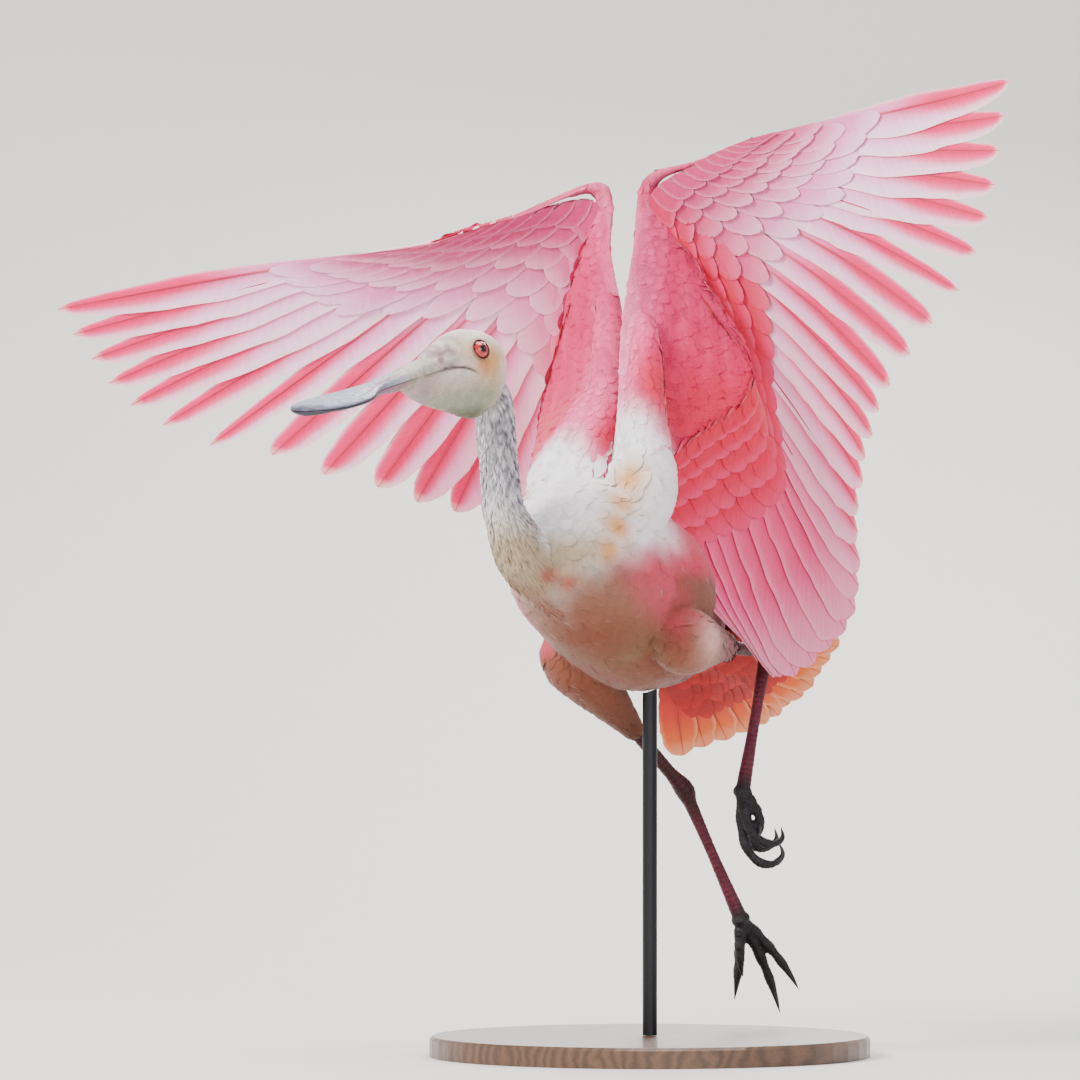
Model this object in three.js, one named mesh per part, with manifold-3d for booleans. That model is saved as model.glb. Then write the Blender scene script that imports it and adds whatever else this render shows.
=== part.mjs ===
// Roseate spoonbill in mid leap with its wings raised, life size, on a plain display stand.
// Millimetres, +Z up. The bird heads towards -Y and its left side is +X.
// The origin is the centre of the stand's underside.
import * as THREE from 'three';
import { mergeVertices } from 'three/addons/utils/BufferGeometryUtils.js';
import Module from 'manifold-3d';

const wasm = await Module();
wasm.setup();

const degrees = THREE.MathUtils.degToRad;
const V = (x, y, z) => new THREE.Vector3(x, y, z);

// Stance of the whole bird: nose up, left side up, trunk centre above the stand.
const PITCH = degrees(-20);
const BANK = degrees(-12);
const TRUNK_CENTRE = V(-15, -8, 320);

// Stand
const BASE_RADIUS = 150;
const BASE_THICKNESS = 14;
const BASE_BEVEL = 2;
const ROD_RADIUS = 5;

// Gap between touching pieces, and the shortest edge that a cut may leave.
const GAP = 0.3;
const SHORTEST_EDGE = 0.02;
const TOUCH = 0.01;
const DRAW_BACK = 0.06;

// From here on, places are in the bird's own level frame: X to its left, Y to its tail, Z to its back,
// with the origin at the trunk centre.

// Trunk: its middle line from breast to rump, then half width, height above the line and depth below it.
const TRUNK_LINE = [
  V(0, -132, -22), V(0, -118, -20), V(0, -70, -6), V(0, 0, 0), V(0, 60, 4), V(0, 105, 8), V(0, 126, 10),
];
const TRUNK_SIZE = [
  V(8, 8, 10), V(32, 34, 34), V(56, 58, 60), V(60, 58, 73), V(48, 44, 58), V(28, 24, 28), V(12, 9, 9),
];

// Neck: from inside the breast in a short S up to the head, with the same three sizes.
const NECK_LINE = [
  V(-6, -92, -26), V(-13, -130, -22), V(-14, -156, 0), V(-8, -176, 32), V(-1, -196, 58), V(1, -212, 70),
];
const NECK_SIZE = [
  V(24, 28, 28), V(19, 22, 22), V(13.5, 15, 15), V(12.5, 13, 13), V(13, 14, 14), V(12, 12, 12),
];

// Head and bill, laid out along the way that the bill points: X ahead, Y to the bird's left, Z up.
const HEAD_CENTRE = V(1, -229, 70);
const BILL_YAW = degrees(10);
const BILL_DROP = degrees(8);
const HEAD_ROLL = degrees(0);
const HEAD_LINE = [
  V(-25, 0, 4), V(-20, 0, 4), V(-9, 0, 3), V(6, 0, 1), V(23, 0, 1), V(40, 0, 1), V(56, 0, 1), V(72, 0, 3),
];
const HEAD_SIZE = [
  V(7, 9, 10), V(13, 16, 18), V(17.5, 23.5, 28), V(18, 28, 32), V(14.5, 27, 27), V(11, 22, 22), V(9.5, 14, 16),
  V(9, 8, 8),
];
const EYE_RADIUS = 6;
const EYE_AHEAD = 8;
const EYE_ASIDE = 12.5;
const EYE_UP = 14;
const LID_WIDTH = 3.2;
const LID_TIP = degrees(18);
const LID_TURN = degrees(10);
const MOUTH_LINE = [V(13, 19, 0), V(24, 17, 5), V(36, 14.5, 6.3), V(62, 11, 4.6)];
const BILL_START = 44;
const BILL_LENGTH = 132;
const BILL_CLOSE = 6;
const BILL_TIP_CLOSE = -4.5;
const BILL_STEPS = 16;
const BILL_ROOT_WIDTH = 20;
const BILL_WAIST = 17;
const SPOON_WIDTH = 52;
const SPOON_TURN = 0.82;
const SPOON_DEPTH = 3;
const UPPER_ROOT_DEPTH = 10.5;
const LOWER_ROOT_DEPTH = 9;

// Wings: bones, then the tips of the flight feathers from the outermost primary to the innermost tertial.
const LEFT_WING = {
  name: 'wing_left',
  side: 1,
  shoulder: V(34, -78, 34),
  edge: V(36, -66, 150),
  elbow: V(96, -3, 131),
  wrist: V(60, -67, 260),
  handEnd: V(160, -110, 253),
  tips: [
    V(384, -203, 202), V(340, -156, 120), V(210, -20, 90), V(139, 88, 64), V(108, 134, 0), V(70, 93, -50),
    V(60, 58, -34),
  ],
};
const RIGHT_WING = {
  name: 'wing_right',
  side: -1,
  shoulder: V(-30, -76, 38),
  edge: V(17, -29, 165),
  elbow: V(-50, -8, 132),
  wrist: V(3, -27, 286),
  handEnd: V(-106, -71, 252),
  tips: [
    V(-347, -166, 219), V(-312, -107, 152), V(-177, -2, 109), V(-120, 102, 83), V(-123, 135, 36), V(-98, 108, 0),
    V(-70, 66, -20),
  ],
};

const WING_BULGE = 11;
// The first ten flight feathers are the primaries of the outer wing, and the wing parts just behind them.
const FLIGHT_FEATHERS = 26;
const INNERMOST = 0.94;
const WING_PARTING = (INNERMOST * 9.5) / (FLIGHT_FEATHERS - 1);
const PRIMARY_WIDTH = 34;
const TERTIAL_WIDTH = 40;
const ARM_STEPS = 12;
const ARM_HALF_DEPTH = 10;
const HAND_HALF_DEPTH = 6;
const ARM_MARGIN = 10;
const HAND_MARGIN = 6;

// Tail feather tips from the left outer to the right outer one.
const TAIL_ROOT = V(0, 106, 7);
const TAIL_ROOT_WIDTH = 40;
const TAIL_FEATHERS = 12;
const TAIL_FEATHER_WIDTH = 27;

// Feathers: share of the width in front of and behind the shaft, half depth of the vane, and how much
// lower each vane lies than its outer neighbour where they overlap.
const LEADING_VANE = 0.38;
const TRAILING_VANE = 0.62;
const VANE_HALF_DEPTH = 0.4;
const VANE_STEP = 2;
const VANE_OVERLAP = 1.35;

// Rows of coverts over and under the wing and the tail: how many there are, how far out they reach along
// the sheet, their width, and their height over the sheet at the root and at the tip.
const WING_COVERTS = [
  { count: 11, reach: 0.42, width: 44, rootLift: 3, tipLift: 6.5 },
  { count: 11, reach: 0.4, width: 44, rootLift: -3, tipLift: -8 },
];
const TAIL_COVERTS = [
  { count: 6, reach: 0.55, width: 26, rootLift: 3, tipLift: 5.5 },
  { count: 6, reach: 0.66, width: 28, rootLift: -3, tipLift: -5.5 },
];
const TAIL_TIPS = [V(82, 172, -1), V(40, 207, -15), V(-6, 231, -23), V(-62, 222, -36)];

// Legs: joints, then the toes, each with its first direction, the way it curls, its length and its curl.
// The left foot hangs with curled toes, the right one trails with its toes spread.
const THIGH_END = 0.58;
const LEFT_LEG = {
  name: 'leg_left',
  knee: V(44, -6, -52),
  ankle: V(42, 138, -8),
  foot: V(23, 133, -105),
  toes: [
    { ahead: V(-0.2, 0.26, -0.94), curlTo: V(0.8, 0.6, 0.1), length: 80, curl: degrees(200), hold: 3.2 },
    { ahead: V(0.04, 0.1, -0.99), curlTo: V(0.8, 0.6, 0.2), length: 62, curl: degrees(180), hold: 3 },
    { ahead: V(-0.3, 0.5, -0.81), curlTo: V(0.7, 0.7, 0.2), length: 68, curl: degrees(190), hold: 3 },
    { ahead: V(0.55, 0.4, -0.7), curlTo: V(0.3, 0.2, -1), length: 36, curl: degrees(60) },
  ],
};
const RIGHT_LEG = {
  name: 'leg_right',
  knee: V(-40, 0, -46),
  ankle: V(-18, 125, -103),
  foot: V(-9, 187, -175),
  toes: [
    { ahead: V(0.06, 0.84, -0.52), curlTo: V(0, -0.6, -0.8), length: 74, curl: degrees(34) },
    { ahead: V(-0.36, 0.66, -0.62), curlTo: V(0, -0.6, -0.8), length: 58, curl: degrees(30) },
    { ahead: V(0.3, 0.86, -0.38), curlTo: V(0, -0.6, -0.8), length: 66, curl: degrees(34) },
    { ahead: V(-0.25, 0.25, -0.93), curlTo: V(0, 1, -0.2), length: 40, curl: degrees(30) },
  ],
};

// One closed skin over rings with equal point counts, with a fan at each end. On a flat blade the first
// half of each ring is the upper face, and both faces are split along the same diagonals.
function skin(rings, blade = false) {
  const count = rings[0].length;
  const points = rings.flat();
  const index = [];
  for (let ring = 0; ring + 1 < rings.length; ring += 1) {
    for (let i = 0; i < count; i += 1) {
      const a = ring * count + i;
      const b = ring * count + (i + 1) % count;
      if (blade && i >= count / 2) {
        index.push(a, b, a + count, b, b + count, a + count);
      } else {
        index.push(a, b, b + count, a, b + count, a + count);
      }
    }
  }
  for (const first of [0, points.length - count]) {
    const hub = points.length;
    const middle = V(0, 0, 0);
    rings[first === 0 ? 0 : rings.length - 1].forEach((point) => middle.addScaledVector(point, 1 / count));
    points.push(middle);
    for (let i = 0; i < count; i += 1) {
      const a = first + i;
      const b = first + (i + 1) % count;
      index.push(...(first === 0 ? [b, a, hub] : [a, b, hub]));
    }
  }
  const geometry = new THREE.BufferGeometry().setFromPoints(points);
  geometry.setIndex(index);
  return geometry;
}

// A closed geometry as a solid for joining and cutting, its faces turned outwards.
function solid(geometry) {
  const bare = geometry.clone();
  bare.deleteAttribute('normal');
  bare.deleteAttribute('uv');
  const merged = mergeVertices(bare, 1e-3);
  const triVerts = new Uint32Array(merged.index.array);
  const place = merged.attributes.position;
  const corner = [V(0, 0, 0), V(0, 0, 0), V(0, 0, 0)];
  let volume = 0;
  for (let t = 0; t < triVerts.length; t += 3) {
    corner.forEach((point, i) => point.fromBufferAttribute(place, triVerts[t + i]));
    volume += corner[0].dot(corner[1].cross(corner[2]));
  }
  if (volume < 0) {
    for (let t = 0; t < triVerts.length; t += 3) {
      [triVerts[t], triVerts[t + 1]] = [triVerts[t + 1], triVerts[t]];
    }
  }
  return new wasm.Manifold(new wasm.Mesh({
    numProp: 3,
    vertProperties: new Float32Array(place.array),
    triVerts,
  }));
}

// Joins solids, takes the cutters away and keeps the largest closed body.
function fuse(pieces, cutters = []) {
  let body = pieces.reduce((sum, piece) => sum.add(piece));
  for (const cutter of cutters) {
    body = body.subtract(cutter);
  }
  const bodies = body.decompose();
  return bodies.reduce((best, next) => (next.volume() > best.volume() ? next : best));
}

// Cuts leave edges far shorter than any real detail. Each one is closed up where that keeps the surface
// closed, which is where its two ends share exactly the two corners across the edge.
function closeShortEdges({ vertProperties, triVerts }) {
  const corner = (i) => V(...vertProperties.slice(3 * i, 3 * i + 3));
  let faces = [];
  for (let t = 0; t < triVerts.length; t += 3) {
    faces.push(Array.from(triVerts.slice(t, t + 3)));
  }
  for (let round = 0; round < 6; round += 1) {
    const around = new Map();
    faces.forEach((face) => face.forEach((i) => {
      around.set(i, (around.get(i) ?? new Set()).add(face));
    }));
    const neighbours = (i) => new Set([...around.get(i)].flat().filter((j) => j !== i));
    const moved = new Map();
    const touched = new Set();
    for (const face of faces) {
      for (let k = 0; k < 3; k += 1) {
        const from = face[k];
        const to = face[(k + 1) % 3];
        if (touched.has(from) || touched.has(to) || corner(from).distanceTo(corner(to)) > SHORTEST_EDGE) {
          continue;
        }
        const near = neighbours(to);
        const shared = [...neighbours(from)].filter((j) => near.has(j));
        if (shared.length === 2 && !shared.some((j) => touched.has(j))) {
          moved.set(from, to);
          [from, to, ...neighbours(from), ...near].forEach((j) => touched.add(j));
        }
      }
    }
    if (moved.size === 0) {
      break;
    }
    faces = faces
      .map((face) => face.map((i) => moved.get(i) ?? i))
      .filter(([a, b, c]) => a !== b && b !== c && c !== a);
  }
  return faces.flat();
}

// Two corners of the surface that touch at one place are each drawn back towards their own neighbours.
function partTouchingCorners(places, index) {
  const neighbours = new Map();
  for (let i = 0; i < index.length; i += 1) {
    const next = index[i % 3 === 2 ? i - 2 : i + 1];
    neighbours.set(index[i], (neighbours.get(index[i]) ?? new Set()).add(next));
  }
  const place = (i) => new THREE.Vector3().fromArray(places, 3 * i);
  const meeting = new Map();
  for (const i of neighbours.keys()) {
    const key = place(i).multiplyScalar(1 / TOUCH).round().toArray().join();
    meeting.set(key, [...(meeting.get(key) ?? []), i]);
  }
  for (const corner of [...meeting.values()].filter((those) => those.length > 1).flat()) {
    const around = [...neighbours.get(corner)].map(place);
    const middle = around.reduce((sum, one) => sum.add(one), new THREE.Vector3()).divideScalar(around.length);
    const step = middle.sub(place(corner)).setLength(DRAW_BACK);
    place(corner).add(step).toArray(places, 3 * corner);
  }
}

function mesh(name, body, material) {
  const source = body.getMesh();
  const geometry = new THREE.BufferGeometry();
  const index = closeShortEdges(source);
  partTouchingCorners(source.vertProperties, index);
  geometry.setAttribute('position', new THREE.BufferAttribute(source.vertProperties, 3));
  geometry.setIndex(index);
  geometry.computeVertexNormals();
  const made = new THREE.Mesh(geometry, material);
  made.name = name;
  return made;
}

const paint = (color, roughness, metalness = 0) => (
  new THREE.MeshStandardMaterial({ color, roughness, metalness })
);
const WHITE_PLUMAGE = paint(0xe9e6e8, 0.9);
const NECK_PLUMAGE = paint(0xc4c0c8, 0.9);
const PINK_PLUMAGE = paint(0xf0a3c0, 0.85);
const LEG_PLUMAGE = paint(0xe6b9c0, 0.9);
const TAIL_PLUMAGE = paint(0xf08a54, 0.85);
const HEAD_SKIN = paint(0xcfcdb8, 0.7);
const BILL_HORN = paint(0x8f93a3, 0.5);
const LEG_SKIN = paint(0x6e3144, 0.6);
const FOOT_SKIN = paint(0x3c363c, 0.6);
const IRIS = paint(0xc43a2e, 0.1);
const STAND_METAL = paint(0x2e2e30, 0.4, 0.8);
const STAND_WOOD = paint(0x5a3d28, 0.5);

// A rounded body along a smooth line. Each size holds half width, height above and depth below the line,
// and "grow" adds to all three. "aside" is the way in which the half width is measured.
function limb(line, size, { sides = 16, steps = 14, grow = 0, aside = V(1, 0, 0) } = {}) {
  const path = new THREE.CatmullRomCurve3(line, false, 'centripetal');
  const sizes = new THREE.CatmullRomCurve3(size, false, 'centripetal');
  const rings = [];
  for (let step = 0; step <= steps; step += 1) {
    const u = step / steps;
    const along = path.getTangent(u);
    const across = aside.clone().addScaledVector(along, -aside.dot(along)).normalize();
    const upward = new THREE.Vector3().crossVectors(across, along);
    const [width, above, below] = sizes.getPoint(u).toArray();
    const middle = path.getPoint(u);
    if (step === 0 || step === steps) {
      middle.addScaledVector(along, step === 0 ? -grow : grow);
    }
    const ring = [];
    for (let i = 0; i < sides; i += 1) {
      const turn = (i / sides) * 2 * Math.PI;
      const rise = Math.sin(turn);
      const reach = rise > 0 ? above : below;
      ring.push(middle.clone()
        .addScaledVector(across, (width + grow) * Math.cos(turn))
        .addScaledVector(upward, (reach + grow) * rise));
    }
    rings.push(ring);
  }
  return skin(rings);
}

const even = (...radii) => radii.map((radius) => V(radius, radius, radius));

const trunk = (grow) => limb(TRUNK_LINE, TRUNK_SIZE, { sides: 20, steps: 16, grow });

// The head stays level while the body pitches and banks: this frame undoes the body's turn first.
const BIRD_TURN = new THREE.Matrix4().makeRotationFromEuler(new THREE.Euler(PITCH, BANK, 0));
const HEAD_FRAME = BIRD_TURN.clone().invert()
  .multiply(new THREE.Matrix4().makeRotationZ(-Math.PI / 2 - BILL_YAW))
  .multiply(new THREE.Matrix4().makeRotationY(BILL_DROP))
  .multiply(new THREE.Matrix4().makeRotationX(HEAD_ROLL))
  .setPosition(HEAD_CENTRE);
const inHead = (geometry) => geometry.applyMatrix4(HEAD_FRAME);
const headShape = (grow) => (
  inHead(limb(HEAD_LINE, HEAD_SIZE, { sides: 16, steps: 13, grow, aside: V(0, -1, 0) }))
);
const eyePlace = (side) => V(EYE_AHEAD, EYE_ASIDE * side, EYE_UP);
const eyeBall = (side, grow) => (
  inHead(new THREE.SphereGeometry(EYE_RADIUS + grow, 12, 8).translate(...eyePlace(side).toArray()))
);

// Lids: a low ring round each eye, tipped to lie on the side of the head.
function eyeLid(side) {
  const ring = new THREE.TorusGeometry(EYE_RADIUS + LID_WIDTH / 2 - 0.6, LID_WIDTH / 2, 5, 14);
  ring.rotateX(Math.PI / 2);
  ring.rotateX(side * LID_TIP);
  ring.rotateZ(-side * LID_TURN);
  return inHead(ring.translate(EYE_AHEAD, (EYE_ASIDE + 2.6) * side, EYE_UP));
}

// The mouth line runs back from the bill's closing line to the gape below the eye.
function mouthLine(side) {
  const line = MOUTH_LINE.map(({ x, y, z }) => V(x, y * side, z));
  const slit = [V(3.5, 0.4, 0.4), V(3.5, 0.7, 0.7), V(3.5, 0.7, 0.7), V(3.5, 0.7, 0.7)];
  return inHead(limb(line, slit, { sides: 6, steps: 6, aside: V(0, -1, 0) }));
}

// Half width of the bill at a fraction of its length: a broad root, a narrow waist and the round spoon.
function billHalfWidth(t) {
  const waist = BILL_WAIST / 2;
  const taper = (BILL_ROOT_WIDTH / 2 - waist) * Math.max(0, 1 - t / 0.4) ** 1.5;
  const spoon = (SPOON_WIDTH / 2 - waist) * THREE.MathUtils.smoothstep(t, 0.42, 0.78);
  const end = t < SPOON_TURN ? 1 : Math.sqrt(Math.max(0.02, 1 - ((t - SPOON_TURN) / (1 - SPOON_TURN)) ** 2));
  return (waist + taper + spoon) * end;
}

// One jaw of the bill, flat on the closing line. It is deepest at the root and thin at the spoon.
function billHalf(upper) {
  const rings = [];
  const turn = upper ? 1 : -1;
  const rootDepth = upper ? UPPER_ROOT_DEPTH : LOWER_ROOT_DEPTH;
  for (let step = 0; step <= BILL_STEPS; step += 1) {
    const t = step / BILL_STEPS;
    const half = billHalfWidth(t);
    const depth = SPOON_DEPTH + (rootDepth - SPOON_DEPTH) * (1 - t) ** 2.2;
    const level = THREE.MathUtils.lerp(BILL_CLOSE, BILL_TIP_CLOSE, t) + turn * (GAP / 2 + 0.05);
    const ahead = BILL_START + BILL_LENGTH * t;
    const ring = [];
    for (let i = 0; i <= 8; i += 1) {
      const angle = Math.PI * (i / 8);
      ring.push(V(ahead, -half * Math.cos(angle), level + turn * depth * Math.sin(angle) ** 0.8));
    }
    rings.push(ring);
  }
  return inHead(skin(rings));
}

// Nostrils: narrow slots on top of the bill, close to its root.
function nostril(side) {
  const slot = new THREE.SphereGeometry(1, 10, 6).scale(6, 1.1, 2.5);
  return inHead(slot.translate(BILL_START + 24, 3.6 * side, BILL_CLOSE + 8.5));
}

// The bones, muscle and skin of a wing: a strip from the leading edge back to the line of the bones.
function wingArm(wing) {
  const { shoulder, edge, elbow, wrist, handEnd, tips, side } = wing;
  const halfHand = wrist.clone().lerp(handEnd, 0.5);
  const bones = new THREE.CatmullRomCurve3([
    shoulder, shoulder.clone().lerp(elbow, 0.5), elbow, elbow.clone().lerp(wrist, 0.5), wrist, halfHand, handEnd,
  ]);
  const front = new THREE.CatmullRomCurve3([
    shoulder, shoulder.clone().lerp(edge, 0.5), edge, edge.clone().lerp(wrist, 0.55), wrist, halfHand, handEnd,
  ]);
  const rings = [];
  for (let step = 0; step <= ARM_STEPS; step += 1) {
    const u = step / ARM_STEPS;
    const lead = front.getPoint(u);
    const bone = bones.getPoint(u);
    const back = tips[Math.round((1 - u) * (tips.length - 1))].clone().sub(bone).normalize();
    const dorsal = new THREE.Vector3().crossVectors(bones.getTangent(u), back).normalize().multiplyScalar(side);
    const thick = THREE.MathUtils.lerp(ARM_HALF_DEPTH, HAND_HALF_DEPTH, u);
    const margin = THREE.MathUtils.lerp(ARM_MARGIN, HAND_MARGIN, u);
    const ring = [];
    for (let i = 0; i < 10; i += 1) {
      const turn = (i / 10) * 2 * Math.PI;
      const across = Math.cos(turn);
      const middle = across > 0 ? bone.clone() : bone.clone().lerp(lead, -across);
      ring.push(middle.addScaledVector(back, margin * across).addScaledVector(dorsal, thick * Math.sin(turn)));
    }
    rings.push(ring);
  }
  return skin(rings);
}

// A sheet of feathers between a root line and a tip line. At (u, v) it gives the place, the way inward
// across the feathers, the way to the back of the sheet and the millimetres that one unit of u spans.
function feltSheet(rootAt, tipAt, side, bulge) {
  const flat = (u, v) => rootAt(u).lerp(tipAt(u), v);
  const across = (u, v) => flat(Math.min(1, u + 0.02), v).sub(flat(Math.max(0, u - 0.02), v));
  return (u, v) => {
    const inward = across(u, v);
    const spread = inward.length() / (Math.min(1, u + 0.02) - Math.max(0, u - 0.02));
    const dorsal = tipAt(u).sub(rootAt(u)).cross(across(u, 0.5)).normalize().multiplyScalar(side);
    const place = flat(u, v).addScaledVector(dorsal, bulge * 4 * v * (1 - v));
    return { place, inward: inward.normalize(), dorsal, spread };
  };
}

// The sheet that the flight feathers lie in: u runs from the outermost feather in to the body, v from
// the bones to the feather tips, and the sheet bulges towards the back of the wing.
function wingSheet(wing) {
  const { shoulder, elbow, wrist, handEnd, side } = wing;
  const roots = new THREE.CatmullRomCurve3([
    handEnd,
    handEnd.clone().lerp(wrist, 0.45),
    wrist.clone().lerp(elbow, 0.06),
    wrist.clone().lerp(elbow, 0.52),
    elbow,
    elbow.clone().lerp(shoulder, 0.4),
    shoulder,
  ]);
  const tips = new THREE.CatmullRomCurve3(wing.tips);
  return feltSheet((u) => roots.getPoint(u), (u) => tips.getPoint(u), side, WING_BULGE);
}

// The tail fan as the same kind of sheet, from the left outer feather to the right one.
function tailSheet() {
  const tips = new THREE.CatmullRomCurve3(TAIL_TIPS);
  const root = (u) => TAIL_ROOT.clone().add(V(TAIL_ROOT_WIDTH * (0.5 - u), 0, 0));
  return feltSheet(root, (u) => tips.getPoint(u), 1, 0);
}

// A blade over the root of a sheet, thick at the root, that holds the feathers together.
function rootBlade(sheet, steps, reach, halfDepth) {
  const rings = [];
  const face = (u, v, lift) => {
    const { place, dorsal } = sheet(u, v);
    return place.addScaledVector(dorsal, lift);
  };
  for (let step = 0; step <= steps; step += 1) {
    const u = step / steps;
    rings.push([
      face(u, 0, halfDepth), face(u, reach / 2, halfDepth), face(u, reach, 0.8),
      face(u, reach, -0.8), face(u, reach / 2, -halfDepth), face(u, 0, -halfDepth),
    ]);
  }
  return skin(rings, true);
}

// One vane of a sheet at place u, from the root out to "reach". Its leading side slopes towards the back
// of the wing, so that each vane lies over the next without touching it.
function vane(sheet, { u, reach, width, rootLift = 0, tipLift = 0, pitch, lean = 1, outline }) {
  const rings = outline.map(([t, share]) => {
    const v = reach * t;
    const lift = THREE.MathUtils.lerp(rootLift, tipLift, t);
    const { dorsal, spread } = sheet(u, v);
    const slope = (lean * VANE_STEP) / (spread * pitch);
    const point = (aside) => {
      const there = THREE.MathUtils.clamp(u + aside / spread, 0, 1);
      const spot = sheet(there, v);
      return spot.place
        .addScaledVector(spot.inward, aside - (there - u) * spread)
        .addScaledVector(spot.dorsal, lift - aside * slope);
    };
    const wide = Math.min(width * share, VANE_OVERLAP * spread * pitch);
    const lead = point(-LEADING_VANE * wide);
    const trail = point(TRAILING_VANE * wide);
    const off = (spot, rise) => spot.clone().addScaledVector(dorsal, rise);
    return [
      off(lead, VANE_HALF_DEPTH), off(trail, VANE_HALF_DEPTH),
      off(trail, -VANE_HALF_DEPTH), off(lead, -VANE_HALF_DEPTH),
    ];
  });
  return skin(rings, true);
}

// Share of the full width at fractions of the length, for a long flight feather and for a short covert.
const FLIGHT_OUTLINE = [[0, 0.3], [0.3, 0.85], [0.68, 1], [0.9, 0.74], [1, 0.12]];
const COVERT_OUTLINE = [[0, 0.45], [0.45, 1], [0.84, 0.85], [1, 0.25]];

// A row of coverts, evenly spaced from the outer end of the sheet to "inner".
const coverts = (sheet, row, inner) => Array.from({ length: row.count }, (_, i) => (
  vane(sheet, { ...row, u: (inner * (i + 0.5)) / row.count, pitch: inner / row.count, outline: COVERT_OUTLINE })
));

function wingFeathers(wing) {
  const sheet = wingSheet(wing);
  const flight = Array.from({ length: FLIGHT_FEATHERS }, (_, i) => {
    const pitch = INNERMOST / (FLIGHT_FEATHERS - 1);
    const width = THREE.MathUtils.lerp(PRIMARY_WIDTH, TERTIAL_WIDTH, pitch * i);
    return vane(sheet, { u: pitch * i, reach: 1, width, pitch, outline: FLIGHT_OUTLINE });
  });
  return [...flight, ...WING_COVERTS.flatMap((row) => coverts(sheet, row, INNERMOST))];
}

// Tail feathers slope down towards the middle, and one of the middle pair lies over the other.
function tailFeathers() {
  const sheet = tailSheet();
  const middle = TAIL_FEATHERS / 2 - 1;
  const flight = Array.from({ length: TAIL_FEATHERS }, (_, i) => vane(sheet, {
    u: i / (TAIL_FEATHERS - 1),
    reach: 1,
    width: TAIL_FEATHER_WIDTH,
    tipLift: i === middle ? 2.5 : 0,
    rootLift: i === middle ? 1 : 0,
    pitch: 1 / (TAIL_FEATHERS - 1),
    lean: i <= middle ? 1 : -1,
    outline: FLIGHT_OUTLINE,
  }));
  return [
    rootBlade(sheet, 8, 0.34, 6),
    ...flight,
    ...TAIL_COVERTS.flatMap((row) => coverts(sheet, row, 1)),
  ];
}

// A thin wall across a wing sheet at place u, which parts the outer wing from the inner one.
function parting(sheet, u) {
  const rings = [-0.12, 0.1, 0.35, 0.6, 0.85, 1.15].map((v) => {
    const { place, inward, dorsal } = sheet(u, v);
    const corner = (aside, rise) => place.clone().addScaledVector(inward, aside).addScaledVector(dorsal, rise);
    const half = GAP / 2 + 0.05;
    return [corner(-half, 30), corner(half, 30), corner(half, -30), corner(-half, -30)];
  });
  return skin(rings);
}

const thigh = ({ knee, ankle }, grow) => limb(
  [-0.17, -0.11, 0.02, 0.3, THIGH_END].map((t) => knee.clone().lerp(ankle, t)),
  even(9, 19, 24, 16, 7),
  { sides: 14, steps: 9, grow },
);

const shank = ({ knee, ankle, foot }, grow) => limb(
  [knee.clone().lerp(ankle, THIGH_END - 0.1), knee.clone().lerp(ankle, 0.85), ankle, ankle.clone().lerp(foot, 0.1)],
  even(5, 4.6, 7, 5),
  { sides: 10, steps: 8, grow },
);

const tarsus = ({ ankle, foot }, grow) => limb(
  [ankle.clone().lerp(foot, 0.05), ankle.clone().lerp(foot, 0.5), foot],
  even(5, 3.9, 5.2),
  { sides: 10, steps: 6, grow },
);

// A toe curls towards "curlTo" by the angle "curl", later along its length for a greater "hold", to a claw.
function toe(start, shape) {
  const { curlTo, length, curl, hold = 1.6 } = shape;
  const line = [start.clone()];
  const sizes = [5.2, 4, 4.6, 3.5, 4.1, 3.1, 3.5, 2.5, 1.6, 0.5];
  const stride = length / (sizes.length - 1);
  const ahead = shape.ahead.clone().normalize();
  const sole = curlTo.clone().addScaledVector(ahead, -ahead.dot(curlTo)).normalize();
  for (let joint = 1; joint < sizes.length; joint += 1) {
    const angle = curl * (joint / (sizes.length - 1)) ** hold;
    line.push(line[joint - 1].clone()
      .addScaledVector(ahead, stride * Math.cos(angle))
      .addScaledVector(sole, stride * Math.sin(angle)));
  }
  return limb(line, even(...sizes), { sides: 6, steps: 9, aside: new THREE.Vector3().crossVectors(ahead, sole) });
}

function footSolids({ ankle, foot, toes }) {
  const down = foot.clone().sub(ankle).normalize();
  const ball = foot.clone().addScaledVector(down, 5);
  const palm = limb([foot, ball, ball.clone().addScaledVector(down, 4)], even(5.2, 7, 4), { sides: 10, steps: 4 });
  return [solid(palm), ...toes.map((one) => solid(toe(ball, one)))];
}

// Stand: a bevelled disc and one rod up into the belly.
function standBase() {
  const profile = [
    [0, 0], [BASE_RADIUS, 0], [BASE_RADIUS, BASE_THICKNESS - BASE_BEVEL],
    [BASE_RADIUS - BASE_BEVEL, BASE_THICKNESS], [0, BASE_THICKNESS],
  ].map(([radius, height]) => new THREE.Vector2(radius, height));
  return new THREE.LatheGeometry(profile, 48).rotateX(Math.PI / 2);
}

function standRod() {
  const bottom = BASE_THICKNESS + GAP;
  const top = TRUNK_CENTRE.z;
  return new THREE.CylinderGeometry(ROD_RADIUS, ROD_RADIUS, top - bottom, 24)
    .rotateX(Math.PI / 2)
    .translate(0, 0, (top + bottom) / 2);
}

// The bird, built in its level frame.
const bird = new THREE.Group();
bird.position.copy(TRUNK_CENTRE);
bird.rotation.set(PITCH, BANK, 0);
bird.updateMatrix();

const trunkCut = solid(trunk(GAP));
const headCut = solid(headShape(GAP));
bird.add(mesh('torso', solid(trunk(0)), WHITE_PLUMAGE));

const neck = limb(NECK_LINE, NECK_SIZE, { sides: 14, steps: 14 });
bird.add(mesh('neck', fuse([solid(neck)], [trunkCut, headCut]), NECK_PLUMAGE));

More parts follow.
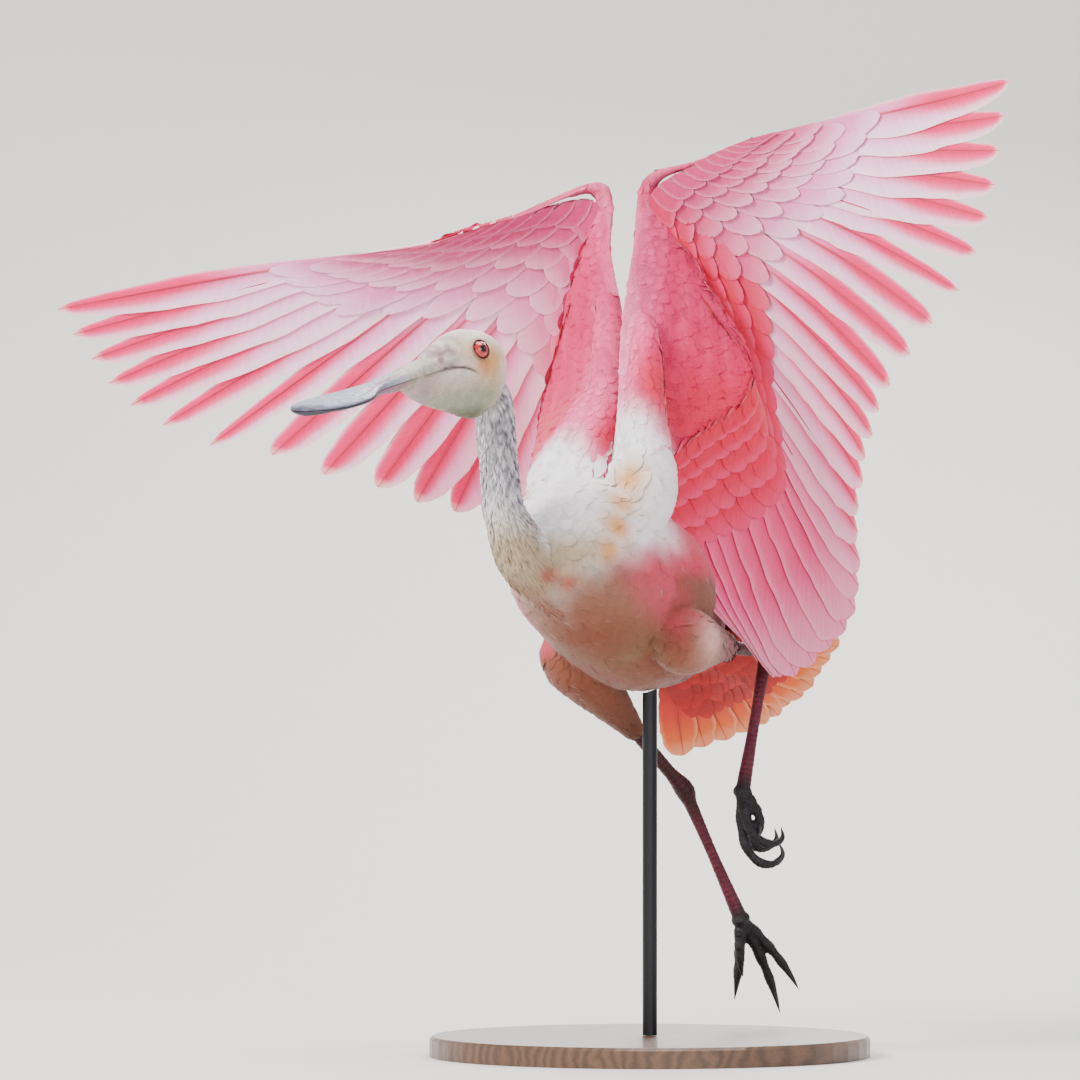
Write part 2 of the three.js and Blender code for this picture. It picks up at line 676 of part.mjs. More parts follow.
const headParts = [headShape(0), eyeLid(1), eyeLid(-1)].map(solid);
const headCutters = [eyeBall(1, GAP), eyeBall(-1, GAP), mouthLine(1), mouthLine(-1)].map(solid);
const head = fuse(headParts, headCutters);
bird.add(mesh('head', head, HEAD_SKIN));
bird.add(mesh('eye_left', solid(eyeBall(1, 0)), IRIS));
bird.add(mesh('eye_right', solid(eyeBall(-1, 0)), IRIS));
bird.add(mesh('bill_upper', fuse([solid(billHalf(true))], [headCut, solid(nostril(1)), solid(nostril(-1))]), BILL_HORN));
bird.add(mesh('bill_lower', fuse([solid(billHalf(false))], [headCut]), BILL_HORN));

const legCuts = [LEFT_LEG, RIGHT_LEG].flatMap((leg) => [thigh(leg, GAP), shank(leg, GAP)]).map(solid);
for (const wing of [LEFT_WING, RIGHT_WING]) {
  const pieces = [wingArm(wing), ...wingFeathers(wing)].map(solid);
  const whole = fuse(pieces, [trunkCut, ...legCuts]);
  const [inner, outer] = whole.subtract(solid(parting(wingSheet(wing), WING_PARTING))).decompose()
    .sort((one, other) => other.volume() - one.volume());
  bird.add(mesh(`${wing.name}_inner`, inner, PINK_PLUMAGE));
  bird.add(mesh(`${wing.name}_outer`, outer, PINK_PLUMAGE));
}
bird.add(mesh('tail', fuse(tailFeathers().map(solid), [trunkCut, ...legCuts]), TAIL_PLUMAGE));

for (const leg of [LEFT_LEG, RIGHT_LEG]) {
  const shankCut = solid(shank(leg, GAP));
  const thighCut = solid(thigh(leg, GAP));
  const tarsusCut = solid(tarsus(leg, GAP));
  bird.add(mesh(`${leg.name}_thigh`, fuse([solid(thigh(leg, 0))], [trunkCut]), LEG_PLUMAGE));
  bird.add(mesh(`${leg.name}_shank`, fuse([solid(shank(leg, 0))], [thighCut]), LEG_SKIN));
  bird.add(mesh(`${leg.name}_tarsus`, fuse([solid(tarsus(leg, 0))], [shankCut]), LEG_SKIN));
  bird.add(mesh(`${leg.name}_foot`, fuse(footSolids(leg), [tarsusCut]), FOOT_SKIN));
}

const spoonbill = new THREE.Group();
spoonbill.add(bird);
const bellyCut = solid(trunk(GAP).applyMatrix4(bird.matrix));
spoonbill.add(mesh('stand_base', solid(standBase()), STAND_WOOD));
spoonbill.add(mesh('stand_rod', fuse([solid(standRod())], [bellyCut]), STAND_METAL));

export default spoonbill;
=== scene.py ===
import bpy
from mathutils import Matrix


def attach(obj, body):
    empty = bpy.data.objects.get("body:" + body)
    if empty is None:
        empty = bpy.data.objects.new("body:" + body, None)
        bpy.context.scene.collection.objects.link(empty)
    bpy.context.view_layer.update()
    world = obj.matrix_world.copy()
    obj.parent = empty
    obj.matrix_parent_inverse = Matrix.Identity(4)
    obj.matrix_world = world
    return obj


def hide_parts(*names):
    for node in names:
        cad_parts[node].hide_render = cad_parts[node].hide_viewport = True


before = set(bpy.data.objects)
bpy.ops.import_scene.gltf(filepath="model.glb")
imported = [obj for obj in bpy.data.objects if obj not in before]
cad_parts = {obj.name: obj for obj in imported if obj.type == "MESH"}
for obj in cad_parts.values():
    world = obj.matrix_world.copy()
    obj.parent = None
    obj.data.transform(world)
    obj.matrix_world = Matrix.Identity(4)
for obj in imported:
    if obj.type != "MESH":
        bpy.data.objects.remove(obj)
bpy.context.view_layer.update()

import math

import bpy
import numpy as np
from bpy.props import FloatProperty, FloatVectorProperty, IntProperty, PointerProperty
from mathutils import Matrix, Vector, noise
from mathutils.bvhtree import BVHTree

bl_info = {
    "name": "Roseate spoonbill",
    "version": (1, 0, 0),
    "blender": (4, 5, 0),
    "location": "3D View > Sidebar > Spoonbill",
    "description": "Life-size spoonbill in mid leap on a display stand",
    "category": "Add Mesh",
}

# Places are in millimetres in the bird's own frame: +X its left side, +Y its tail, +Z its back.
# The same named sizes as in the solids, so that every feather grows from the form that carries it.
PITCH, BANK = math.radians(-20), math.radians(-12)
TRUNK_CENTRE = np.array((-15.0, -8.0, 320.0))
BIRD_TURN = np.array(Matrix.Rotation(PITCH, 3, "X") @ Matrix.Rotation(BANK, 3, "Y"))

TRUNK_LINE = [(0, -132, -22), (0, -118, -20), (0, -70, -6), (0, 0, 0), (0, 60, 4), (0, 105, 8), (0, 126, 10)]
TRUNK_SIZE = [(8, 8, 10), (32, 34, 34), (56, 58, 60), (60, 58, 73), (48, 44, 58), (28, 24, 28), (12, 9, 9)]
NECK_LINE = [(-6, -92, -26), (-13, -130, -22), (-14, -156, 0), (-8, -176, 32), (-1, -196, 58), (1, -212, 70)]
NECK_SIZE = [(24, 28, 28), (19, 22, 22), (13.5, 15, 15), (12.5, 13, 13), (13, 14, 14), (12, 12, 12)]
HEAD_CENTRE = (1, -229, 70)
BILL_YAW, BILL_DROP = math.radians(10), math.radians(8)
HEAD_LINE = [(-25, 0, 4), (-20, 0, 4), (-9, 0, 3), (6, 0, 1), (23, 0, 1), (40, 0, 1), (56, 0, 1), (72, 0, 3)]
HEAD_SIZE = [(7, 9, 10), (13, 16, 18), (17.5, 23.5, 28), (18, 28, 32), (14.5, 27, 27), (11, 22, 22),
             (9.5, 14, 16), (9, 8, 8)]
EYE_RADIUS = 7.3
EYE_PLACE = (8, 11.3, 14)
MOUTH_LINE = [(13, 19, 0), (24, 17, 5), (36, 14.5, 6.3), (62, 11, 4.6)]
BILL_START, BILL_LENGTH = 44, 132
BILL_CLOSE, BILL_TIP_CLOSE = 6, -4.5
BILL_ROOT_WIDTH, BILL_WAIST, SPOON_WIDTH, SPOON_TURN, SPOON_DEPTH = 20, 17, 52, 0.82, 3
UPPER_ROOT_DEPTH, LOWER_ROOT_DEPTH = 10.5, 9

LEFT_WING = {
    "name": "wing_left", "side": 1,
    "shoulder": (34, -78, 34), "edge": (36, -66, 150), "elbow": (96, -3, 131), "wrist": (60, -67, 260),
    "hand_end": (160, -110, 253),
    "tips": [(384, -203, 202), (340, -156, 120), (210, -20, 90), (139, 88, 64), (108, 134, 0), (70, 93, -50),
             (60, 58, -34)],
}
RIGHT_WING = {
    "name": "wing_right", "side": -1,
    "shoulder": (-30, -76, 38), "edge": (17, -29, 165), "elbow": (-50, -8, 132), "wrist": (3, -27, 286),
    "hand_end": (-106, -71, 252),
    "tips": [(-347, -166, 219), (-312, -107, 152), (-177, -2, 109), (-120, 102, 83), (-123, 135, 36),
             (-98, 108, 0), (-70, 66, -20)],
}
WING_BULGE = 11
INNERMOST = 0.94
TAIL_ROOT, TAIL_ROOT_WIDTH = (0, 106, 7), 40
TAIL_TIPS = [(82, 172, -1), (40, 207, -15), (-6, 231, -23), (-62, 222, -36)]
LEFT_LEG = {
    "name": "leg_left", "knee": (44, -6, -52), "ankle": (42, 138, -8), "foot": (23, 133, -105),
    "toes": [((-0.2, 0.26, -0.94), (0.8, 0.6, 0.1), 80, 200, 3.2),
             ((0.04, 0.1, -0.99), (0.8, 0.6, 0.2), 62, 180, 3),
             ((-0.3, 0.5, -0.81), (0.7, 0.7, 0.2), 68, 190, 3),
             ((0.55, 0.4, -0.7), (0.3, 0.2, -1), 36, 60, 1.6)],
}
RIGHT_LEG = {
    "name": "leg_right", "knee": (-40, 0, -46), "ankle": (-18, 125, -103), "foot": (-9, 187, -175),
    "toes": [((0.06, 0.84, -0.52), (0, -0.6, -0.8), 74, 34, 1.6),
             ((-0.36, 0.66, -0.62), (0, -0.6, -0.8), 58, 30, 1.6),
             ((0.3, 0.86, -0.38), (0, -0.6, -0.8), 66, 34, 1.6),
             ((-0.25, 0.25, -0.93), (0, 1, -0.2), 40, 30, 1.6)],
}
THIGH_END = 0.58
THIGH_SIZE, SHANK_SIZE, TARSUS_SIZE = (9, 19, 24, 16, 7), (5, 4.6, 7, 5), (5, 3.9, 5.2)
TOE_SIZE = (5.2, 4, 4.6, 3.5, 4.1, 3.1, 3.5, 2.5, 1.6, 0.5)


# Lines
def unit(v):
    return v / np.maximum(np.linalg.norm(v, axis=-1, keepdims=True), 1e-9)


def ease(x, low, high):
    """0 below low, 1 above high, and a smooth step between."""
    k = np.clip((x - low) / (high - low), 0, 1)
    return k * k * (3 - 2 * k)


def blend(a, b, k):
    return a + (b - a) * k


class Line:
    """A centripetal spline through points, read at fractions of its length in points."""

    def __init__(self, points, steps=600):
        p = np.array(points, float)
        p = np.vstack((2 * p[0] - p[1], p, 2 * p[-1] - p[-2]))
        self.u = np.linspace(0, 1, steps + 1)
        where = self.u * (len(points) - 1)
        cell = np.minimum(where.astype(int), len(points) - 2)
        k = (where - cell)[:, None]
        a, b, c, d = (p[cell + i] for i in range(4))
        gaps = [np.sqrt(np.linalg.norm(y - x, axis=1, keepdims=True)) for x, y in ((a, b), (b, c), (c, d))]
        gaps[1] = np.where(gaps[1] < 1e-2, 1.0, gaps[1])
        gaps[0] = np.where(gaps[0] < 1e-2, gaps[1], gaps[0])
        gaps[2] = np.where(gaps[2] < 1e-2, gaps[1], gaps[2])
        start = ((b - a) / gaps[0] - (c - a) / (gaps[0] + gaps[1]) + (c - b) / gaps[1]) * gaps[1]
        end = ((c - b) / gaps[1] - (d - b) / (gaps[1] + gaps[2]) + (d - c) / gaps[2]) * gaps[1]
        self.p = b + start * k + (3 * (c - b) - 2 * start - end) * k ** 2 + (2 * (b - c) + start + end) * k ** 3

    def at(self, u):
        u = np.clip(u, 0, 1)
        return np.stack([np.interp(u, self.u, self.p[:, i]) for i in range(self.p.shape[1])], -1)

    def along(self, u):
        return unit(self.at(np.minimum(u + 0.004, 1)) - self.at(np.maximum(u - 0.004, 0)))


class Limb:
    """The surface of a rounded body along a line. Angle 0 is its side "aside", and 90 degrees is above."""

    def __init__(self, line, size, aside=(1, 0, 0)):
        self.line, self.size, self.aside = Line(line), Line(size), np.array(aside, float)

    def point(self, u, angle, grow=0.0):
        along = self.line.along(u)
        aside = self.aside - along * (along @ self.aside)[..., None]
        aside = unit(aside)
        upward = np.cross(aside, along)
        size = self.size.at(u)
        rise = np.sin(angle)
        reach = np.where(rise > 0, size[..., 1], size[..., 2]) + grow
        middle = self.line.at(u) + along * np.where(u <= 0, -grow, np.where(u >= 1, grow, 0.0))[..., None]
        return (middle + aside * ((size[..., 0] + grow) * np.cos(angle))[..., None]
                + upward * (reach * rise)[..., None])


def even(*radii):
    return [(r, r, r) for r in radii]


def mid(a, b, k):
    return tuple(blend(np.array(a, float), np.array(b, float), k))


class Arm:
    """The surface of the wing's arm and hand. Angle 0 faces the flight feathers, 180 degrees the leading edge."""

    def __init__(self, wing):
        w = wing
        half = mid(w["wrist"], w["hand_end"], 0.5)
        self.bones = Line([w["shoulder"], mid(w["shoulder"], w["elbow"], 0.5), w["elbow"],
                           mid(w["elbow"], w["wrist"], 0.5), w["wrist"], half, w["hand_end"]])
        self.front = Line([w["shoulder"], mid(w["shoulder"], w["edge"], 0.5), w["edge"],
                           mid(w["edge"], w["wrist"], 0.55), w["wrist"], half, w["hand_end"]])
        self.tips, self.side = Line(w["tips"]), w["side"]

    def point(self, u, angle, grow=0.0):
        u = np.clip(u, 0, 1)
        lead, bone = self.front.at(u), self.bones.at(u)
        back = unit(self.tips.at(1 - u) - bone)
        dorsal = unit(np.cross(self.bones.along(u), back)) * self.side
        across = np.cos(angle)
        middle = blend(bone, lead, np.maximum(-across, 0)[..., None])
        reach = blend(10.0, 6.0, u) + grow
        thick = blend(9.0, 5.0, u) + grow
        return middle + back * (reach * across)[..., None] + dorsal * (thick * np.sin(angle))[..., None]


class Sheet:
    """A sheet of feathers between a root line and a tip line: place, way inward, way to its back, spread."""

    def __init__(self, root, tip, side, bulge):
        self.root, self.tip, self.side, self.bulge = Line(root), Line(tip), side, bulge

    def flat(self, u, v):
        return blend(self.root.at(u), self.tip.at(u), v[..., None])

    def read(self, u, v):
        low, high = np.maximum(u - 0.02, 0), np.minimum(u + 0.02, 1)
        inward = self.flat(high, v) - self.flat(low, v)
        spread = np.linalg.norm(inward, axis=-1) / (high - low)
        half = np.full_like(v, 0.5)
        dorsal = unit(np.cross(self.tip.at(u) - self.root.at(u),
                               self.flat(high, half) - self.flat(low, half)))
        dorsal = dorsal * self.side
        place = self.flat(u, v) + dorsal * (self.bulge * 4 * v * (1 - v))[..., None]
        return place, unit(inward), dorsal, spread


def wing_sheet(wing):
    w = wing
    roots = [w["hand_end"], mid(w["hand_end"], w["wrist"], 0.45), mid(w["wrist"], w["elbow"], 0.06),
             mid(w["wrist"], w["elbow"], 0.52), w["elbow"], mid(w["elbow"], w["shoulder"], 0.4),
             w["shoulder"]]
    return Sheet(roots, w["tips"], w["side"], WING_BULGE)


def tail_sheet():
    half = TAIL_ROOT_WIDTH / 2
    root = [(half - TAIL_ROOT_WIDTH * k, TAIL_ROOT[1], TAIL_ROOT[2]) for k in (0, 1 / 3, 2 / 3, 1)]
    return Sheet(root, TAIL_TIPS, 1, 0)


HEAD_TURN = (BIRD_TURN.T @ np.array(Matrix.Rotation(-math.pi / 2 - BILL_YAW, 3, "Z"))
             @ np.array(Matrix.Rotation(BILL_DROP, 3, "Y")))


def from_head(p):
    return np.asarray(p, float) @ HEAD_TURN.T + np.array(HEAD_CENTRE, float)


def to_head(p):
    return (np.asarray(p, float) - np.array(HEAD_CENTRE, float)) @ HEAD_TURN


TRUNK = Limb(TRUNK_LINE, TRUNK_SIZE)
NECK = Limb(NECK_LINE, NECK_SIZE)
HEAD = Limb(HEAD_LINE, HEAD_SIZE, aside=(0, -1, 0))


def thigh_limb(leg):
    return Limb([mid(leg["knee"], leg["ankle"], t) for t in (-0.17, -0.11, 0.02, 0.3, THIGH_END)],
                even(*THIGH_SIZE))
# Flesh that fills the corner between back and upper arm, thick at the shoulder.
SHOULDERS = [Limb([(26, -62, 8), (46, -62, 38), (50, -68, 68), (51, -68, 100), (51, -65, 138),
                   (48, -60, 165)],
                  even(24, 22, 17, 13.5, 11, 7)),
             Limb([(-14, -62, 18), (-1, -58, 52), (4, -48, 88), (9, -40, 122), (11, -35, 160),
                   (12, -38, 200)],
                  even(26, 23, 17, 13.5, 12, 8))]


# Mesh and finish
def srgb(code):
    """A hex sRGB colour as linear red, green and blue."""
    value = np.array([int(code.lstrip("#")[i:i + 2], 16) / 255 for i in (0, 2, 4)])
    return np.where(value <= 0.04045, value / 12.92, ((value + 0.055) / 1.055) ** 2.4)


def tint(*stops):
    """Colours blended in turn: a first one, then pairs of a colour and how much of it, per point."""
    colour = stops[0]
    for paint, share in stops[1:]:
        colour = colour + (paint - colour) * np.asarray(share)[..., None]
    return colour


def grain(p, size, seed=0.0):
    """Smooth noise from -1 to 1 at points in millimetres, in lumps of about that size."""
    q = np.asarray(p, float).reshape(-1, 3) / size + seed
    value = np.array([noise.noise(Vector(x)) for x in q])
    return value.reshape(np.asarray(p).shape[:-1])


class Sewn:
    """Collects grids of points into one mesh with a colour and two UV places at each point."""

    def __init__(self):
        self.places, self.faces, self.tones, self.bake, self.barbs, self.count = [], [], [], [], [], 0

    def grids(self, places, tones, bake=None, barbs=None, round_=False, flip=False):
        """Adds grids shaped (how many, along, across, 3), each to faces of its own."""
        n, rows, cols = places.shape[:3]
        index = np.arange(n * rows * cols).reshape(n, rows, cols) + self.count
        if round_:
            index = np.concatenate((index, index[:, :, :1]), 2)
        a, b, c, d = index[:, :-1, :-1], index[:, 1:, :-1], index[:, 1:, 1:], index[:, :-1, 1:]
        quads = np.stack((d, c, b, a) if flip else (a, b, c, d), -1).reshape(-1, 4)
        self.places.append(places.reshape(-1, 3))
        self.faces.append(quads)
        self.tones.append(np.broadcast_to(tones, places.shape).reshape(-1, 3))
        for held, uv in ((self.bake, bake), (self.barbs, barbs)):
            shape = places.shape[:3] + (2,)
            held.append(np.zeros(shape).reshape(-1, 2) if uv is None else np.broadcast_to(uv,
                    shape).reshape(-1, 2))
        self.count += n * rows * cols

    def make(self, name, material):
        places = np.concatenate(self.places) @ BIRD_TURN.T + TRUNK_CENTRE
        return mesh_object(name, places * 0.001, np.concatenate(self.faces), np.concatenate(self.tones),
                           material,
                           {"OFBake": np.concatenate(self.bake), "Barbs": np.concatenate(self.barbs)})


def mesh_object(name, places, quads, tones, material, maps):
    mesh = bpy.data.meshes.new(name)
    mesh.vertices.add(len(places))
    mesh.vertices.foreach_set("co", places.astype(np.float32).ravel())
    mesh.loops.add(quads.size)
    mesh.loops.foreach_set("vertex_index", quads.astype(np.int32).ravel())
    mesh.polygons.add(len(quads))
    mesh.polygons.foreach_set("loop_start", np.arange(0, quads.size, quads.shape[1], dtype=np.int32))
    mesh.polygons.foreach_set("use_smooth", np.ones(len(quads), bool))
    mesh.update(calc_edges=True)
    paint(mesh, tones)
    for title, uv in maps.items():
        layer = mesh.uv_layers.new(name=title)
        layer.data.foreach_set("uv", uv[quads.ravel()].astype(np.float32).ravel())
    mesh.materials.append(material)
    thing = bpy.data.objects.new(name, mesh)
    bpy.context.scene.collection.objects.link(thing)
    return thing


def deepen(tones):
    """Colours as the eye sees them, made stronger: a picture's soft highlights pale whatever they light."""
    strong = np.clip(tones, 0, 1) ** 1.45
    grey = (strong @ (0.21, 0.72, 0.07))[:, None]
    return np.clip(grey + 1.28 * (strong - grey), 0, 1)


def paint(mesh, tones):
    attribute = mesh.attributes.get("Tone") or mesh.attributes.new("Tone", "FLOAT_COLOR", "POINT")
    rgba = np.ones((len(tones), 4), np.float32)
    rgba[:, :3] = deepen(tones)
    attribute.data.foreach_set("color", rgba.ravel())


def ride(piece, *nodes, slot=None):
    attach(piece, "root")
    if nodes:
        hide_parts(*nodes)
    return piece


def knot(tree, kind, settings=None, links=None):
    """Adds one node, with its settings and with values or other nodes' sockets on its inputs."""
    made = tree.nodes.new(kind)
    for key, value in (settings or {}).items():
        setattr(made, key, value)
    for key, value in (links or {}).items():
        socket = made.inputs[key]
        if isinstance(value, bpy.types.NodeSocket):
            tree.links.new(value, socket)
        else:
            socket.default_value = value
    return made


def ramp(tree, factor, *stops):
    """A colour ramp over grey values at places from 0 to 1."""
    made = knot(tree, "ShaderNodeValToRGB", links={"Fac": factor})
    stones = made.color_ramp.elements
    for stone, (place, value) in zip([stones[0], stones[1]] + [stones.new(0.5) for _ in stops[2:]], stops):
        stone.position, stone.color = place, (value, value, value, 1)
    return made.outputs["Color"]


def finish(name):
    """An empty material with its Principled surface."""
    material = bpy.data.materials.new(name)
    material.use_nodes = True
    tree = material.node_tree
    return material, tree, tree.nodes["Principled BSDF"]


def tone(tree):
    return knot(tree, "ShaderNodeAttribute", {"attribute_name": "Tone"}).outputs["Color"]


def vary(tree, colour, factor, low, high):
    """The colour made darker or lighter by a grey factor that runs from low to high."""
    scale = knot(tree, "ShaderNodeMapRange",
                 links={"Value": factor, "To Min": low, "To Max": high}).outputs[0]
    return knot(tree, "ShaderNodeVectorMath", {"operation": "SCALE"}, {0: colour, "Scale": scale}).outputs[0]


def feather_vane(name, roughness, sheen, spacing, depth):
    """Feather keratin: barbs run out from the shaft towards the tip, so the gloss is soft and in fine lines."""
    material, tree, surface = finish(name)
    place = knot(tree, "ShaderNodeUVMap", {"uv_map": "Barbs"}).outputs["UV"]
    split = knot(tree, "ShaderNodeSeparateXYZ", links={0: place})
    aside = knot(tree, "ShaderNodeMath", {"operation": "ABSOLUTE"}, {0: split.outputs["X"]}).outputs[0]
    # A barb leaves the shaft at about 40 degrees: "row" numbers the barbs and "reach" runs along each.
    slant = knot(tree, "ShaderNodeMath", {"operation": "MULTIPLY"}, {0: aside, 1: 1.15}).outputs[0]
    row = knot(tree, "ShaderNodeMath", {"operation": "SUBTRACT"},
               {0: split.outputs["Y"], 1: slant}).outputs[0]
    rows = knot(tree, "ShaderNodeMath", {"operation": "MULTIPLY"}, {0: row, 1: 1 / spacing}).outputs[0]
    reach = knot(tree, "ShaderNodeMath", {"operation": "MULTIPLY"},
                 {0: split.outputs["X"], 1: 0.05 / spacing})
    barb = knot(tree, "ShaderNodeCombineXYZ", links={0: rows, 1: reach.outputs[0]}).outputs[0]
    fibre = knot(tree, "ShaderNodeTexNoise",
                 links={"Vector": barb, "Scale": 1.0, "Detail": 3.0, "Roughness": 0.6})
    fibre = fibre.outputs["Fac"]
    cloud = knot(tree, "ShaderNodeTexNoise",
                 links={"Vector": barb, "Scale": 0.16, "Detail": 1.0}).outputs["Fac"]
    streak = vary(tree, tone(tree), ramp(tree, fibre, (0.3, 0), (0.7, 1)), 0.92, 1.05)
    tree.links.new(vary(tree, streak, ramp(tree, cloud, (0.35, 0), (0.65, 1)), 0.95, 1.03),
                   surface.inputs["Base Color"])
    bump = knot(tree, "ShaderNodeBump", links={"Height": fibre, "Strength": 0.55, "Distance": depth})
    tree.links.new(bump.outputs[0], surface.inputs["Normal"])
    surface.inputs["Roughness"].default_value = roughness
    surface.inputs["Sheen Weight"].default_value = sheen
    surface.inputs["Sheen Roughness"].default_value = 0.4
    surface.inputs["Specular IOR Level"].default_value = 0.3
    surface.inputs["IOR"].default_value = 1.54
    return material


# Colours
WHITE = srgb("f1eff1")
NECK_GREY, NECK_DARK = srgb("c4c0c4"), srgb("77727a")
CARMINE = srgb("d42a50")
# BILL_DARK is partly painted shade of the bill's underside.
BILL_PALE, BILL_DARK, BILL_PINK = srgb("b3b7c4"), srgb("4c4856"), srgb("b08c92")
LEG_MAROON, LEG_MAUVE, FOOT_GREY, CLAW_BLACK = srgb("5a2a2e"), srgb("84485a"), srgb("332e33"), srgb("1f1c1e")


def near(p, spot, reach):
    """1 at a spot and falling off smoothly to 0 over about that many millimetres."""
    return np.exp(-(np.linalg.norm(p - np.array(spot, float), axis=-1) / reach) ** 2)


def head_tone(p):
    """Bare head: chalky crown, orange-yellow round the eye, grey lores, greenish throat, white ear."""
    h = to_head(p)
    h = np.stack((h[..., 0], np.abs(h[..., 1]), h[..., 2]), -1)
    patchy = grain(h, 5.0, 3.0)
    colour = tint(srgb("ebe5de"), (srgb("c3bcae"), ease(h[..., 2], 6, -10) * 0.75),
                  (srgb("aeb3a4"), ease(h[..., 2], -4, -18) * 0.85 * ease(h[..., 0], -14, 4)),
                  (srgb("6f6d5c"), ease(h[..., 2], -18, -29) * ease(h[..., 0], -4, 14) * 0.85),
                  (srgb("b5a8a8"), ease(h[..., 0], 18, 34) * ease(h[..., 2], 2,
                                                                  9) * np.clip(0.6 + 0.9 * patchy, 0, 1)),
                  (srgb("d6ae74"), near(h, (0, 16, 6), 13) * 0.8),
                  (srgb("d9bd92"), near(h, (21, 15, 17), 9) * 0.5),
                  (srgb("e9e6e2"), near(h, (-15, 15, -3), 10) * 0.85),
                  (srgb("cf8462"), near(h, (9, 15, 4), 6) * 0.6),
                  (srgb("b9a9aa"), ease(h[..., 0], 46, 66) * 0.7),
                  (srgb("b07f7a"), near(h, (52, 10, 4), 9) * 0.35))
    return colour


def body_tone(p):
    """Feathers of the trunk: white shoulders, tan patch, olive-brown painted shade low on the breast front, a pink
    belly browned by painted shade and darker still at its bottom as painted shade, pink flanks, red vent.
    """
    x, y, z = np.abs(p[..., 0]), p[..., 1], p[..., 2]
    q = np.stack((x, y, z), -1)
    patchy = grain(p, 14.0, 7.0) * 5
    low = -z - 20 + 0.25 * (y + 100) + 0.6 * (x - 30) + patchy
    tan = np.maximum.reduce([near(q, (45, -82, 38), 12), near(q, (45, -92, 20), 12),
                             near(q, (42, -99, -2), 12),
                             near(q, (36, -103, -20), 10)])
    side = ease(x, 30, 54)
    # Olive-brown low on the front of the breast: painted shade.
    return tint(WHITE, (srgb("a8967a"), ease(z, 2, -26) * ease(y, -96, -124) * 0.8),
                (srgb("d9b084"), tan * 0.95),
                # The belly's brown is painted shade from the light above; the pink at its sides is the feathers'
                # own.
                (blend(srgb("9c7564"), srgb("c45a6c"), side[..., None]), ease(low, 0, 26) * 0.94),
                (srgb("d0566f"), ease(y, -56, -6) * ease(z, -36, 2) * ease(x, 34, 52) * 0.9),
                (srgb("e39aac"), ease(y, -20, 60) * ease(z, 10, 40) * 0.85),
                # Darker towards the bottom of the belly: painted shade.
                (srgb("8a5c49"), ease(z, -40, -66) * 0.8),
                (srgb("98a08a"), near(q, (24, -20, -74), 22) * 0.4),
                (srgb("a8433c"), near(p, (5, -128, -42), 6) * 0.8 + near(p, (13, -118, -45), 6) * 0.6),
                (srgb("7c2626"), ease(y, 34, 66) * ease(z, 0, -26) * 0.75),
                (srgb("a8321e"), ease(y, 62, 92) * ease(z, 8, -14)),
                (srgb("8a1512"), ease(y, 74, 104) * ease(z, 4, -12)),
                (srgb("d9446a"), ease(y, 50, 100) * ease(z, 0, 25) * 0.8))


def thigh_tone(p):
    """Thigh feathers: rosy in front, brownish red behind, with a pale tuft on the left one's outer side; the brown
    base, darker at the right thigh's bottom, and the dark back end of the left thigh behind the wing are painted
    shade.
    """
    x, y, z = p[..., 0], p[..., 1], p[..., 2]
    left = ease(x, -5, 10)
    # The brown base, darker towards the bottom of the right thigh, is painted shade.
    return tint(srgb("92695a"), (srgb("63483a"), ease(z, -64, -100) * (1 - left) * 0.85),
                (srgb("d9a59c"), near(p, (-30, -40, -84), 14) * (1 - left) * 0.5),
                (srgb("9c3a44"), ease(y, 24, 56) * left * 0.85),
                (srgb("e2c2ba"), near(p, (66, -4, -52), 18) * left),
                (srgb("cf5a72"), near(p, (64, -24, -32), 14) * left * 0.85),
                # Dark red at the back end of the left thigh, behind the wing: painted shade.
                (srgb("7a2c2a"), ease(y, 40, 62) * left * 0.85))


def wing_side(p):
    """1 where flesh above the back belongs to the left wing, -1 where to the right one."""
    return np.sign(p[..., 0] - np.interp(p[..., 2], (60, 165, 290), (20, 24, 30)))


def coat_tone(p, legs):
    """The trunk's colour, taken over by the thigh's and the shoulders' where those come out of it."""
    flat = p.reshape(-1, 3)
    colour = body_tone(flat)
    for leg, limb in legs:
        gap, along = distance_to_line(flat, np.array(limb.line.p[::8]))
        colour = tint(colour, (thigh_tone(flat), ease(gap, 52, 38) * ease(along, 0.02, 0.3)))
    left = wing_side(flat)[:, None] > 0
    arms = np.where(left, arm_tone(flat, LEFT_WING, -1), arm_tone(flat, RIGHT_WING, -1))
    colour = tint(colour, (arms, ease(flat[:, 2], 58, 72)))
    return colour.reshape(p.shape)


# Pieces
def tube(surface, grow, rows, cols, low=0.0, high=1.0):
    """Points and quads of a closed body over a surface, with its ends drawn to points."""
    u = np.linspace(low, high, rows)
    angle = np.linspace(0, 2 * math.pi, cols, endpoint=False)
    grid = surface.point(np.repeat(u, cols), np.tile(angle, rows), grow).reshape(rows, cols, 3)
    ends = grid[[0, -1]].mean(1)
    index = np.arange(rows * cols).reshape(rows, cols)
    turned = np.roll(index, -1, 1)
    quads = np.stack((index[:-1], turned[:-1], turned[1:], index[1:]), -1).reshape(-1, 4)
    caps = [(int(turned[0, i]), int(index[0, i]), rows * cols) for i in range(cols)]
    caps += [(int(index[-1, i]), int(turned[-1, i]), rows * cols + 1) for i in range(cols)]
    return np.vstack((grid.reshape(-1, 3), ends)), [tuple(q) for q in quads.tolist()] + caps


